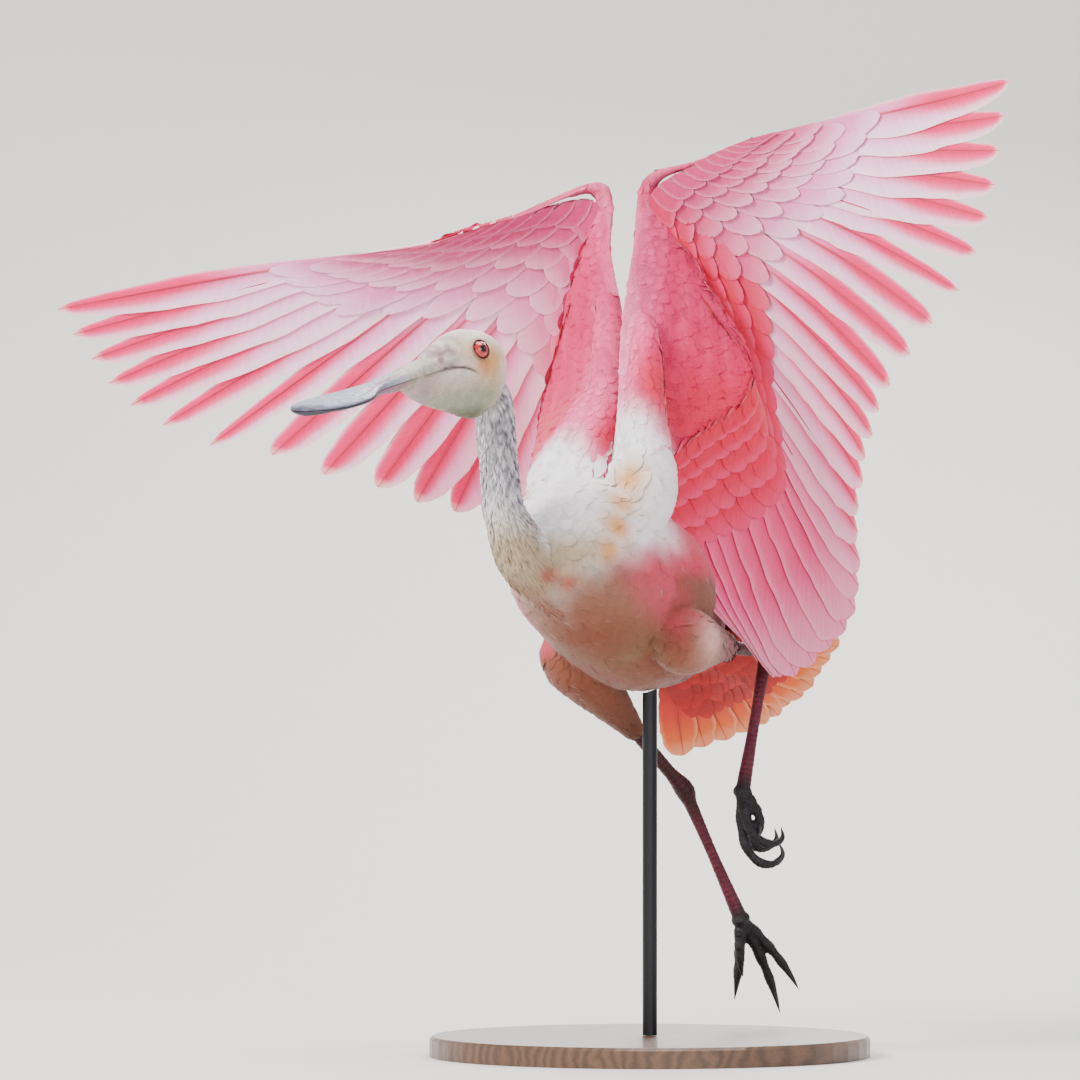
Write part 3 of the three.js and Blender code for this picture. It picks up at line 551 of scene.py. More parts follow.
def melt(name, bodies, voxel, smooth):
    """One closed surface round several overlapping bodies."""
    places, faces, count = [], [], 0
    for points, quads in bodies:
        places.append(points)
        faces += [tuple(i + count for i in q) for q in quads]
        count += len(points)
    places = np.concatenate(places) @ BIRD_TURN.T + TRUNK_CENTRE
    mesh = bpy.data.meshes.new(name)
    mesh.from_pydata((places * 0.001).tolist(), [], faces)
    thing = bpy.data.objects.new(name, mesh)
    bpy.context.scene.collection.objects.link(thing)
    remesh = thing.modifiers.new("Melt", "REMESH")
    remesh.mode, remesh.voxel_size, remesh.use_smooth_shade = "VOXEL", voxel * 0.001, True
    soften = thing.modifiers.new("Soften", "SMOOTH")
    soften.factor, soften.iterations = 0.5, smooth
    return settle(thing)


def settle(thing):
    """Applies all modifiers."""
    graph = bpy.context.evaluated_depsgraph_get()
    mesh = bpy.data.meshes.new_from_object(thing.evaluated_get(graph))
    thing.modifiers.clear()
    thing.data = mesh
    mesh.name = thing.name
    mesh.polygons.foreach_set("use_smooth", np.ones(len(mesh.polygons), bool))
    return thing


def read_places(mesh):
    places = np.empty(len(mesh.vertices) * 3, np.float32)
    mesh.vertices.foreach_get("co", places)
    return (places.reshape(-1, 3).astype(float) * 1000 - TRUNK_CENTRE) @ BIRD_TURN


def write_places(mesh, p):
    mesh.vertices.foreach_set("co", ((p @ BIRD_TURN.T + TRUNK_CENTRE) * 0.001).astype(np.float32).ravel())
    mesh.update()


def distance_to_line(p, points, steps=60):
    """Distance from each point to a spline, and where along it the nearest place is."""
    line = Line(points, steps).p
    gap = np.full(len(p), 1e9)
    where = np.zeros(len(p))
    for i, spot in enumerate(line):
        d = np.linalg.norm(p - spot, axis=1)
        closer = d < gap
        gap[closer], where[closer] = d[closer], i / steps
    return gap, where


def soften_joins(thing, rounds):
    """Evens out the creases where thighs and shoulders come out of the trunk, without losing flesh."""
    mesh = thing.data
    p = read_places(mesh)
    edges = np.empty(len(mesh.edges) * 2, np.int32)
    mesh.edges.foreach_get("vertices", edges)
    a, b = edges.reshape(-1, 2).T
    count = np.bincount(a, minlength=len(p)) + np.bincount(b, minlength=len(p))
    amount = np.maximum.reduce([near(p * (0, 1, 1) + np.abs(p * (1, 0, 0)), spot, reach) for spot, reach in (
        ((46, 0, -44), 34), ((60, -10, -34), 28), ((44, -64, 44), 26), ((20, -62, 50), 30),
                ((30, 30, -40), 30))]
        + [near(p, spot, 24) for spot in ((48, -64, 80), (50, -64, 110), (48, -62, 140), (4, -46, 90),
                                          (8, -42, 120),
                                          (10, -38, 150), (-14, -62, 60), (12, -40, 180))])
    amount = np.clip(amount * 1.6, 0, 1)[:, None]
    for step in range(rounds * 2):
        total = np.stack([np.bincount(a, p[b, k], len(p)) + np.bincount(b, p[a, k],
                                                                        len(p)) for k in range(3)], 1)
        p = blend(p, total / count[:, None], amount * (0.5 if step % 2 == 0 else -0.51))
    return p


def sculpt_head(p):
    """Mouth groove with a fleshy rim, brow, sunk lores, soft cheek and folds of the loose throat."""
    h = to_head(p)
    side = np.sign(h[:, 1])
    q = np.stack((h[:, 0], np.abs(h[:, 1]), h[:, 2]), 1)
    ours = (h[:, 0] > -30) & (h[:, 0] < 76) & (np.abs(h[:, 1]) < 30) & (np.abs(h[:, 2]) < 42)
    q, side, index = q[ours], side[ours], np.nonzero(ours)[0]
    gap, along = distance_to_line(q * (1, 0, 1), np.array(MOUTH_LINE) * (1, 0, 1))
    groove = -1.5 * np.exp(-(gap / 1.0) ** 2) + 0.55 * np.exp(-((gap - 2.4) / 1.1) ** 2)
    groove *= ease(along, 0.0, 0.12)
    eye = np.linalg.norm((q - np.array((EYE_PLACE[0], 16, EYE_PLACE[2]))) / (1.15, 1, 1), axis=1)
    socket = -1.6 * np.exp(-(eye / 6.5) ** 2) + 1.0 * np.exp(-((eye - 9.5) / 2.6) ** 2) * ease(q[:, 2], 8, 18)
    cheek = 1.4 * near(q, (-8, 18, -8), 9) - 1.0 * near(q, (30, 15, 14), 9) + 0.8 * near(q, (46, 11, 10), 7)
    jaw = 0.9 * np.exp(-((q[:, 2] + 2 + 0.1 * q[:, 0]) / 2.2) ** 2) * ease(q[:, 0], 20, 34) * ease(q[:, 0],
            72, 56)
    fold = np.sin((q[:, 2] * 0.9 + q[:, 0] * 0.35 + 1.6 * grain(q, 9.0, 5.0)) * 1.25) * 0.28
    fold *= ease(q[:, 2], -2, -10) * ease(q[:, 0], 62, 40)
    rough = 0.5 * grain(q, 3.0, 2.0) + 0.4 * grain(q * (0.5, 1, 1), 5.0, 9.0)
    rough *= 0.35 + ease(q[:, 0], 14, 40) * ease(q[:, 2], -4, 4)
    bump = groove + socket + cheek + jaw + fold + rough
    out = unit(np.stack((0.12 * (q[:, 0] - 6) / 30, side * q[:, 1] / 18, (q[:, 2] - 1) / 28), 1))
    moved = h.copy()
    moved[index] += out * bump[:, None]
    return from_head(moved)


def bare_skin(name, wrinkle, roughness):
    """Bare skin: soft and slightly oily, with fine creases and pale scurf, so a broken satin gloss."""
    material, tree, surface = finish(name)
    where = knot(tree, "ShaderNodeTexCoord").outputs["Object"]
    # Creases about 1.2 mm apart, and blotches of 6 mm.
    crease = knot(tree, "ShaderNodeTexVoronoi", {"feature": "DISTANCE_TO_EDGE"},
                  {"Vector": where, "Scale": 1 / wrinkle, "Randomness": 1.0}).outputs["Distance"]
    pore = knot(tree, "ShaderNodeTexNoise",
                links={"Vector": where, "Scale": 2200.0, "Detail": 4.0}).outputs["Fac"]
    blotch = knot(tree, "ShaderNodeTexNoise",
                  links={"Vector": where, "Scale": 160.0, "Detail": 3.0}).outputs["Fac"]
    cell = ramp(tree, crease, (0.0, 0), (0.22, 1))
    # Darker in the creases: painted shade.
    coloured = vary(tree, tone(tree), cell, 0.84, 1.03)
    coloured = vary(tree, coloured, ramp(tree, blotch, (0.35, 0), (0.65, 1)), 0.86, 1.06)
    tree.links.new(vary(tree, coloured, pore, 0.92, 1.08), surface.inputs["Base Color"])
    low = knot(tree, "ShaderNodeBump", links={"Height": cell, "Strength": 0.5, "Distance": 0.0005}).outputs[0]
    fine = knot(tree, "ShaderNodeBump",
                links={"Height": pore, "Strength": 0.35, "Distance": 0.0003, "Normal": low})
    tree.links.new(fine.outputs[0], surface.inputs["Normal"])
    surface.inputs["Roughness"].default_value = roughness
    surface.inputs["Subsurface Weight"].default_value = 0.12
    surface.inputs["Subsurface Scale"].default_value = 0.004
    surface.inputs["IOR"].default_value = 1.4
    return material


# Feathers
PLUME_OUTLINE = [(0, 0.4), (0.25, 0.8), (0.5, 1), (0.75, 0.93), (0.92, 0.62), (1, 0.2)]
COVERT_OUTLINE = [(0, 0.45), (0.3, 0.86), (0.6, 1), (0.82, 0.95), (0.94, 0.68), (1, 0.22)]
ROUND_OUTLINE = [(0, 0.25), (0.15, 0.55), (0.4, 0.9), (0.7, 1), (0.86, 0.93), (0.95, 0.7), (0.985, 0.42),
                 (1, 0.1)]
POINTED_OUTLINE = [(0, 0.25), (0.15, 0.6), (0.35, 0.95), (0.55, 1), (0.7, 0.8), (0.85, 0.62), (0.95, 0.42),
                   (0.985, 0.24), (1, 0.05)]


def outline(shape, t):
    return np.interp(t, [a for a, _ in shape], [b for _, b in shape])


def plumes(sewn, surface, u, q, length, width, tones, plot, lie=(1, 0), root=-2.2, tip=0.8, rows=7, cols=5,
           seed=1,
           ragged=0.05, crown=0.5, twist=0.12, shape=PLUME_OUTLINE):
    """Small feathers on a surface: each starts at its own (u, q), follows the surface and lifts at its tip."""
    rng = np.random.default_rng(seed)
    n = len(u)
    length, width = np.broadcast_to(length, n), np.broadcast_to(width, n)
    here = surface.point(u, q, np.zeros(n))
    along = np.linalg.norm(surface.point(np.clip(u + 0.004, 0, 1), q, np.zeros(n))
                           - surface.point(np.clip(u - 0.004, 0, 1), q, np.zeros(n)), axis=1)
    along /= np.clip(u + 0.004, 0, 1) - np.clip(u - 0.004, 0, 1)
    across = np.linalg.norm(surface.point(u, q + 0.01, np.zeros(n)) - here, axis=1) / 0.01
    t = np.linspace(0, 1, rows) ** 0.85
    s = np.linspace(-1, 1, cols)
    turn = math.atan2(lie[1], lie[0]) + rng.normal(0, twist, n)
    ahead = (t[None, :, None] + rng.uniform(-ragged, ragged, (n, 1, cols)) * (t[None, :, None] > 0.8))
    ahead = ahead * length[:, None, None]
    aside = s[None, None, :] * outline(shape, t)[None, :, None] * width[:, None, None] / 2
    cos, sin = np.cos(turn)[:, None, None], np.sin(turn)[:, None, None]
    pu = u[:, None, None] + (ahead * cos - aside * sin) / along[:, None, None]
    pq = q[:, None, None] + (ahead * sin + aside * cos) / np.maximum(across, 1)[:, None, None]
    rise = rng.uniform(0.6, 1.4, (n, 1, 1)) * tip
    grow = root + (rise - root) * t[None, :, None] ** 0.8 - crown * s[None, None, :] ** 2
    places = surface.point(np.clip(pu, 0, 1), pq, grow)
    spill = np.clip(pu - 1, 0, None) - np.clip(-pu, 0, None)
    ends = surface.line if hasattr(surface, "line") else surface.bones
    places = places + ends.along(np.clip(pu, 0, 1)) * (spill * along[:, None, None])[..., None]
    colour = tones(places)
    shade = 0.82 + 0.18 * ease(t, 0.1, 0.75)[None, :, None] + rng.normal(0, 0.025, (n, 1, 1))
    colour = np.clip(colour * shade[..., None], 0, 1)
    x, y, w, h = plot
    centre = np.stack((x + w * np.mod(q / (2 * math.pi), 1), y + h * u), -1)[:, None, None, :]
    patch = np.stack(np.broadcast_arrays(s[None, None, :] * 0.0015, (t[None, :, None] - 0.5) * 0.003), -1)
    barbs = np.stack(np.broadcast_arrays(aside * 0.001, ahead * 0.001), -1)
    sewn.grids(places, colour, centre + patch, barbs)


def rows_on(surface, low, high, pitch, spacing):
    """Staggered places over a limb, about "pitch" apart along it and "spacing" apart round it."""
    u, q = [], []
    steps = np.linspace(low, high, 400)
    reach = np.concatenate(([0], np.cumsum(np.linalg.norm(np.diff(surface.line.at(steps), axis=0), axis=1))))
    for i, level in enumerate(np.arange(0, reach[-1], pitch)):
        at = float(np.interp(level, reach, steps))
        size = surface.size.at(np.array([at]))[0]
        count = max(5, int(math.pi * (size[0] + (size[1] + size[2]) / 2) / spacing))
        turn = (np.arange(count) + 0.5 * (i % 2)) / count * 2 * math.pi
        u.append(np.full(count, at))
        q.append(turn)
    u, q = np.concatenate(u), np.concatenate(q)
    rng = np.random.default_rng(len(u))
    u = np.clip(u + rng.normal(0, 0.12, len(u)) * pitch / reach[-1] * (high - low), 0.001, 0.999)
    q = q + rng.normal(0, 0.1, len(q)) * spacing / 40
    return u, q


def inside(limb, p, grow=-4.0):
    """Whether points lie inside a limb, judged by the nearest of its sections."""
    best, hit = np.full(len(p), 1e9), np.zeros(len(p), bool)
    for u in np.linspace(0.02, 0.98, 40):
        u = np.array([u])
        middle, along = limb.line.at(u)[0], limb.line.along(u)[0]
        aside = unit(limb.aside - along * (along @ limb.aside))
        upward = np.cross(aside, along)
        size = limb.size.at(u)[0] + grow
        gap = p - middle
        ahead, x, y = np.abs(gap @ along), gap @ aside, gap @ upward
        within = (x / size[0]) ** 2 + (y / np.where(y > 0, size[1], size[2])) ** 2 < 1
        closer = ahead < best
        best = np.where(closer, ahead, best)
        hit = np.where(closer, within & (ahead < 6), hit)
    return hit


def scatter(places, spacing, seed):
    """Places thinned out, in random order, to about that distance from one another."""
    rng = np.random.default_rng(seed)
    places = places[rng.permutation(len(places))]
    _, first = np.unique(np.floor(places / (spacing * 0.45)).astype(int), axis=0, return_index=True)
    held, kept = {}, []
    for i in rng.permutation(first):
        spot = places[i]
        cell = tuple(np.floor(spot / spacing).astype(int))
        close = [held[c] for dx in (-1, 0, 1) for dy in (-1, 0, 1) for dz in (-1, 0, 1)
                 if (c := (cell[0] + dx, cell[1] + dy, cell[2] + dz)) in held]
        if all(sum((spot - other) ** 2) > spacing ** 2 for group in close for other in group):
            held.setdefault(cell, []).append(spot)
            kept.append(spot)
    return np.array(kept)


def coat(sewn, skin, spots, length, width, lie, tones, chart, root=-0.8, tip=1.0, rows=7, cols=5, seed=1,
         ragged=0.06, crown=0.45, twist=0.12, shape=PLUME_OUTLINE):
    """Small feathers rooted on a skin: each follows the skin from its spot and lifts towards its tip."""
    tree = BVHTree.FromObject(skin, bpy.context.evaluated_depsgraph_get())
    rng = np.random.default_rng(seed)
    n = len(spots)
    t = np.linspace(0, 1, rows) ** 0.85
    s = np.linspace(-1, 1, cols)
    length, width = np.broadcast_to(length, n), np.broadcast_to(width, n)
    turn = rng.normal(0, twist, (n, 1))
    here, way, facing, middle, faces, ways, flat = spots, lie(spots), None, [], [], [], []
    for k in range(rows):
        if k:
            here = here + way * ((t[k] - t[k - 1]) * length)[:, None]
        hits = [tree.find_nearest(Vector(x)) for x in (here @ BIRD_TURN.T + TRUNK_CENTRE) * 0.001]
        here = (np.array([hit[0] for hit in hits]) * 1000 - TRUNK_CENTRE) @ BIRD_TURN
        normal = np.array([hit[1] for hit in hits]) @ BIRD_TURN
        flat.append(normal)
        facing = normal if facing is None else unit(facing + normal)
        way = unit(way - facing * np.sum(way * facing, 1, keepdims=True))
        if k == 0:
            way = unit(way + np.cross(facing, way) * turn)
        middle.append(here)
        faces.append(facing)
        ways.append(way)
    middle, faces, ways = (np.stack(x, 1) for x in (middle, faces, ways))
    keep = np.sum(flat[0] * flat[-1], 1) > 0.1
    middle, faces, ways, spots, length, width = (x[keep] for x in (middle, faces, ways, spots, length, width))
    n = len(spots)
    across = np.cross(faces, ways)
    aside = s[None, None, :] * outline(shape, t)[None, :, None] * width[:, None, None] / 2
    spill = rng.uniform(-ragged, ragged, (n, 1, cols)) * (t[None, :, None] > 0.8) * length[:, None, None]
    rise = rng.uniform(0.5, 1.5, (n, 1, 1)) * tip
    grow = root + (rise - root) * t[None, :, None] ** 0.7 - crown * s[None, None, :] ** 2
    places = (middle[:, :, None] + across[:, :, None] * aside[..., None] + ways[:, :, None] * spill[..., None]
              + faces[:, :, None] * grow[..., None])
    # Darker towards each feather's root: painted shade.
    colour = tones(places) * (0.86 + 0.14 * ease(t, 0.1, 0.75)[None, :, None] + rng.normal(0, 0.02,
            (n, 1, 1)))[..., None]
    patch = np.stack(np.broadcast_arrays(s[None, None, :] * 0.0015, (t[None, :, None] - 0.5) * 0.003), -1)
    barbs = np.stack(np.broadcast_arrays(aside * 0.001, (t[None, :, None] * length[:, None, None]) * 0.001),
                     -1)
    sewn.grids(places, np.clip(colour, 0, 1), chart(spots)[:, None, None, :] + patch, barbs)


def vane(sewn, sheet, u, pitch, length, width, shape, tones, cell, root_lift=0.0, tip_lift=0.0, lean=1,
         step=1.3,
         lead=0.36, rows=26, cols=9, depth=0.16, overlap=2.0, quill="c4446c", droop=0.0, rng=None, fray=0.03):
    """A long feather of the wing or tail: a thin vane on both sides of a shaft, laid along a sheet."""
    t = 1 - (1 - np.linspace(0, 1, rows)) ** 1.25
    s = np.linspace(-1, 1, cols)
    v = length * t
    at_u = np.full(rows, u)
    _, _, dorsal, spread = sheet.read(at_u, v)
    wide = np.minimum(width * outline(shape, t), overlap * spread * pitch + 2)
    wave = np.stack([1 + fray * np.interp(t, np.linspace(0, 1, 22), rng.normal(0, 1, 22)) for _ in (0, 1)])
    bias = np.where(np.array(shape == POINTED_OUTLINE), 0.08 * ease(t, 0.4, 0.8), 0.0)
    sides = np.stack(((lead - bias) * wide * wave[0], (1 - lead + bias * 0.3) * wide * wave[1]))
    aside = np.where(s[None, :] < 0, s[None, :] * sides[0][:, None], s[None, :] * sides[1][:, None])
    slope = (lean * step / (spread * pitch))[:, None]
    there = np.clip(u + aside / spread[:, None], 0, 1)
    place, inward, _, _ = sheet.read(there.ravel(), np.repeat(v, cols))
    place = place.reshape(rows, cols, 3) + inward.reshape(rows, cols, 3) * (
        aside - (there - u) * spread[:, None])[..., None]
    wander = np.interp(t, np.linspace(0, 1, 7), rng.normal(0, 0.35, 7)) * t
    rise = (blend(root_lift, tip_lift, t) - droop * t ** 3 + wander)[:, None] - aside * slope
    rise = rise + 0.045 * np.abs(aside) - 0.0016 * aside ** 2
    middle = place + rise[..., None] * dorsal[:, None, :]
    thick = depth * (1 - s[None, :] ** 4) * np.minimum(1, (1 - t[:, None]) * 20)
    x, y, w, h = cell
    span = np.stack(np.broadcast_arrays(x + w * (s[None, :] * 0.5 + 0.5) * 0.94, y + h * 0.47 * t[:, None]),
                    -1)
    reach = np.linalg.norm(np.diff(middle[:, cols // 2], axis=0), axis=1)
    reach = np.concatenate(([0], np.cumsum(reach)))
    barbs = np.stack(np.broadcast_arrays(aside * 0.001, reach[:, None] * 0.001), -1)
    for face in (-1, 1):
        layer = middle + dorsal[:, None, :] * (face * thick)[..., None]
        colour = tones(t[:, None], s[None, :], u, face)
        shift = np.array((0, h * 0.5 if face > 0 else 0))
        sewn.grids(layer[None], colour[None], (span + shift)[None], barbs[None],
                   flip=(face > 0) == (sheet.side > 0))
    if quill:
        ring = np.linspace(0, 2 * math.pi, 6, endpoint=False)
        radius = (1.25 * (1 - t) ** 0.8 + 0.16) * min(1, width / 30)
        line = middle[:, cols // 2]
        across = unit(np.cross(np.gradient(line, axis=0), dorsal))
        tube_ = (line[:, None] + across[:, None] * (radius[:, None] * np.cos(ring))[..., None]
                 + dorsal[:, None] * (radius[:, None] * np.sin(ring) * 0.8 - 0.25 * radius[:, None])[...,
                         None])
        colour = tint(srgb("f3d3da"), (srgb(quill), ease(t, 0.15, 0.6)))[:, None, :]
        colour = np.broadcast_to(colour, tube_.shape)
        uv = np.stack(np.broadcast_arrays(x + w * (0.95 + 0.008 * np.cos(ring))[None, :],
                                          y + h * 0.9 * t[:, None]), -1)
        sewn.grids(tube_[None], colour[None], uv[None], uv[None] * 0, round_=True)


def wing_tones(wing):
    """Flight feathers: hot pink round the shaft towards the tip, pale behind it; red and plain near the body, that
    red deepened by painted shade, and all darker towards the root as painted shade.
    """
    low, high = (0.46, 0.66) if wing["side"] > 0 else (0.6, 0.78)

    def tones(t, s, u, face):
        inner = ease(u, low, high)
        hand = ease(u, 0.4, 0.24)
        reach = hand * ease(t, 0.58, 0.85)
        heart = ease(s, 0.5 + 0.5 * reach, 0.02 + 0.5 * reach) * ease(t, 0.3 + 0.12 * hand, 0.66)
        root = np.exp(-((s + 0.35) / 0.4) ** 2) * 0.45
        shaft = np.exp(-(s / 0.09) ** 2)
        rim = ease(np.abs(s) + 0 * t, 0.84, 0.98)
        outer = tint(srgb("f2bcda"), (srgb("e285ad"), root * ease(t, 0.7, 0.3)),
                     (srgb("e4527f"), heart * 0.92),
                     (srgb("fbe2f1"), ease(s, 0.3, 0.85) * 0.8),
                     (srgb("c02f60"), shaft * ease(t, 0.35, 0.6) * 0.6),
                     (srgb("f2a2bd"), ease(-s, 0.45, 0.95) * ease(t, 0.3, 0.6) * 0.45),
                     (srgb("fae3e6"), rim * 0.7), (srgb("fbe9e0"), ease(t, 0.965, 0.995) * 0.7))
        # The deeper red of the inner feathers is partly their own rose, partly painted shade of the underwing's
        # hollow.
        near_body = tint(srgb("e0668c"),
                         (srgb("d0406a"), np.exp(-((s + 0.25) / 0.5) ** 2) * (0.4 + 0.35 * ease(t, 0.7,
                                 0.2))),
                         (srgb("ee98b4"), ease(s, 0.1, 0.8) * (0.2 + 0.5 * t)), (srgb("bc3460"), shaft * 0.5),
                         (srgb("efb2c8"), ease(t, 0.66, 0.98) * 0.9),
                         (srgb("f3c6d2"), rim * 0.5 * ease(t, 0.3, 0.7)))
        colour = blend(outer, near_body, inner)
        if face > 0:
            colour = tint(colour, (srgb("e78ba8") + 0 * colour, 0.45 + 0 * t * s))
        # Darker towards the root: painted shade.
        return colour * (0.88 + 0.12 * ease(t, 0.05, 0.3))[..., None]
    return tones


def covert_tones(wing, row):
    """Coverts: lilac-white ends in the outermost row, rosier above it, red towards the body."""
    low, high = (0.26, 0.4) if wing["side"] > 0 else (0.34, 0.5)

    def tones(t, s, u, face):
        inner = ease(u, low, high)
        deep = 0.15 + 0.26 * row
        outer = tint(srgb("e8a6c8"),
                     (srgb("c05478"), np.clip(deep + 0.5 * ease(t, 0.6, 0.1) + 0 * s, 0, 1) * 0.85),
                     (srgb("f8deec"), ease(t, 0.72, 1) * (0.75 - 0.15 * row)),
                     (srgb("f8e2ec"), ease(np.abs(s) + 0 * t, 0.8, 1) * 0.25))
        near_body = tint(srgb("d44e6c"), (srgb("c33454"), ease(t, 0.6, 0.1) * 0.6),
                         (srgb("e886a6"), ease(t, 0.75, 1) * 0.5))
        colour = blend(outer, near_body, inner)
        if face > 0:
            colour = tint(colour, (CARMINE + 0 * colour, (0.12 + 0.2 * row) * ease(u, 0.1, 0.3) + 0 * t * s))
        return colour
    return tones


def arm_tone(p, wing, face):
    """Small feathers of the arm: pale rosy front edge, red behind it that is partly painted shade of the underwing's
    hollow, hot pink over the wrist.
    """
    hand, shoulder = np.array(wing["hand_end"], float), np.array(wing["shoulder"], float)
    out = 1 - ease(np.linalg.norm(p - hand, axis=-1), 70, 190)
    line = np.stack([wing[k] for k in ("shoulder", "edge", "wrist", "hand_end")]).astype(float)
    gap = distance_to_line(p.reshape(-1, 3), line)[0].reshape(p.shape[:-1])
    streak = grain(p * (1, 1, 0.2), 8.0, 4.0)
    high = ease(p[..., 2], 90, 150)
    low = ease(np.linalg.norm((p - shoulder) * (1, 1, 0.8), axis=-1), 62, 34)
    base = tint(srgb("e486a8"), (srgb("f0b4cc"), ease(gap, 13, 6) * 0.75),
                # Red behind the front edge: the feathers' rose deepened by painted shade.
                (srgb("cc4672"), ease(gap, 14, 32) * 0.8),
                (srgb("e58ba5"), ease(streak, 0.05, 0.4) * 0.35),
                (srgb("bd4a6e"), ease(streak, -0.05, -0.4) * 0.3 * high),
                (srgb("c4587c"), out * 0.6), (srgb("cc3c62"), ease(gap, 9, 3) * out * 0.6),
                (srgb("c8385e"), ease(p[..., 2], 62, 84) * ease(p[..., 2], 150, 110) * ease(gap, 16,
                        26) * 0.7),
                (WHITE, low * ease(gap, 46, 24)))
    if face > 0:
        return tint(base, (CARMINE, 0.55 * ease(np.linalg.norm(p - hand, axis=-1), 60, 130)))
    return tint(base, (srgb("cf3f78"), near(p, (60, -53, 122), 15) * 0.8 * (wing["side"] > 0)))


def tail_tones(t, s, u, face):
    """Tail feathers: red roots, orange middles and pale peach ends."""
    return tint(srgb("cf5c34"), (srgb("961812"), ease(t, 0.62, 0.25) * 0.9),
                (srgb("e08a60"), ease(t, 0.62, 0.85) * 0.7),
                (srgb("e8b297"), ease(t, 0.82, 0.98) * 0.85),
                (srgb("eec7ae"), ease(np.abs(s) + 0 * t, 0.75, 1) * ease(t, 0.5, 0.85) * 0.6),
                (srgb("b8452a"), np.exp(-(s / 0.12) ** 2) * 0.5 * ease(t, 1, 0.6)))


def vent_tones(t, s, u, face):
    return tint(srgb("8e1412"), (srgb("b02a18"), ease(t, 0.4, 0.9)), (srgb("cf5a34"), ease(t, 0.88, 1) * 0.6),
                # Darker towards the root: painted shade.
                (srgb("5f0a0c"), ease(t, 0.35, 0) * 0.7))


# Pieces
def bill_half_width(t):
    waist = BILL_WAIST / 2
    taper = (BILL_ROOT_WIDTH / 2 - waist) * np.maximum(0, 1 - t / 0.4) ** 1.5
    spoon = (SPOON_WIDTH / 2 - waist) * ease(t, 0.42, 0.78)
    end = np.where(t < SPOON_TURN, 1.0,
                   np.sqrt(np.maximum(0.0, 1 - ((t - SPOON_TURN) / (1 - SPOON_TURN)) ** 2)))
    return (waist + taper + spoon) * end


def bill_jaw(upper, material):
    """One jaw: deep at the root, flat at the spoon, with a groove inside each edge and wrinkles near the face."""
    rows, cols = 150, 64
    t = 1 - (1 - np.linspace(0, 1, rows)) ** 1.4
    around = np.linspace(0, 2 * math.pi, cols, endpoint=False)
    T, A = np.meshgrid(t, around, indexing="ij")
    half = bill_half_width(T)
    turn = 1 if upper else -1
    root = UPPER_ROOT_DEPTH if upper else LOWER_ROOT_DEPTH
    rim = np.clip(half / 6, 0, 1)
    depth = (SPOON_DEPTH + (root - SPOON_DEPTH) * (1 - T) ** 2.2) * rim
    top = A <= math.pi
    y = -half * np.cos(A)
    across = np.abs(y) / np.maximum(half, 1e-6)
    x = BILL_START + BILL_LENGTH * T
    level = BILL_CLOSE + (BILL_TIP_CLOSE - BILL_CLOSE) * T
    q = np.stack((x, y, level * 0 + turn * 40), -1)
    flesh = ease(T, 0.62, 0.3)
    groove = -0.75 * np.exp(-((across - 0.62) / 0.09) ** 2) * ease(T, 0.2, 0.34) * ease(T, 0.97, 0.86)
    groove += -0.45 * np.exp(-((across - 0.25) / 0.1) ** 2) * ease(T, 0.2, 0.3) * ease(T, 0.6, 0.45)
    ripple = np.sin(x * 1.15 + 3.0 * grain(q, 11.0, 3.0) + across * 1.5) * 0.32 * flesh * ease(T, 0.16, 0.26)
    lumps = 0.5 * grain(q, 6.5, 4.0) + 0.25 * grain(q, 2.6, 8.0)
    bulge = 0.6 * np.exp(-((T - 0.86) / 0.09) ** 2) * np.exp(-(across / 0.45) ** 2)
    crown = np.where(top,
                     np.sin(A) ** 0.75 * depth + (groove + ripple + lumps * 0.8 + bulge) * np.sin(A) ** 0.4 * rim, 0)
    inside_ = np.where(top, 0, 0.35 * np.sin(A) * -1.0 * rim)
    z = level + turn * (0.2 + crown + inside_)
    points = from_head(np.stack((x, y, z), -1))
    speck = grain(q, 2.2, 6.0)
    edge = ease(across, 0.8, 1.0)
    if upper:
        colour = tint(BILL_PALE, (srgb("c9c5b8"), ease(T, 0.42, 0.2) * 0.9),
                      (srgb("8d92a2"), ease(T, 0.5, 0.9) * 0.35),
                      (BILL_PINK, np.exp(-((across - 0.62) / 0.16) ** 2) * ease(T, 0.25, 0.4) * ease(T,
                              0.75, 0.55) * 0.8),
                      # Darker side edges of the spoon: painted shade at the rim.
                      (srgb("6c6a78"), edge * ease(T, 0.3, 0.6) * 0.7),
                      (srgb("5d5a68"), ease(T, 0.93, 0.995) * 0.7),
                      (srgb("6f7080"), ease(speck, 0.2, 0.6) * 0.35))
    else:
        # The lower jaw shows the bill's underside: its darker greys, deepest over the spoon and at the tip, are
        # partly painted shade.
        colour = tint(srgb("77788a"), (srgb("b5b09c"), ease(T, 0.42, 0.22) * 0.9),
                      (BILL_DARK, ease(T, 0.45, 0.75) * 0.85),
                      (srgb("c08f95"), ease(across, 0.5, 1.0) * ease(T, 0.2, 0.35) * ease(T, 0.62,
                              0.45) * 0.5),
                      (srgb("393641"), ease(T, 0.85, 1) * 0.6),
                      (srgb("9a9aa8"), ease(speck, 0.25, 0.6) * 0.3))
    colour = np.where((~top)[..., None], srgb("8a5e62"), colour)
    sewn = Sewn()
    uv = np.stack((A / (2 * math.pi), T), -1)
    sewn.grids(points[None], colour[None], uv[None], uv[None], round_=True, flip=not upper)
    return sewn.make("bill_upper_horn" if upper else "bill_lower_horn", material)


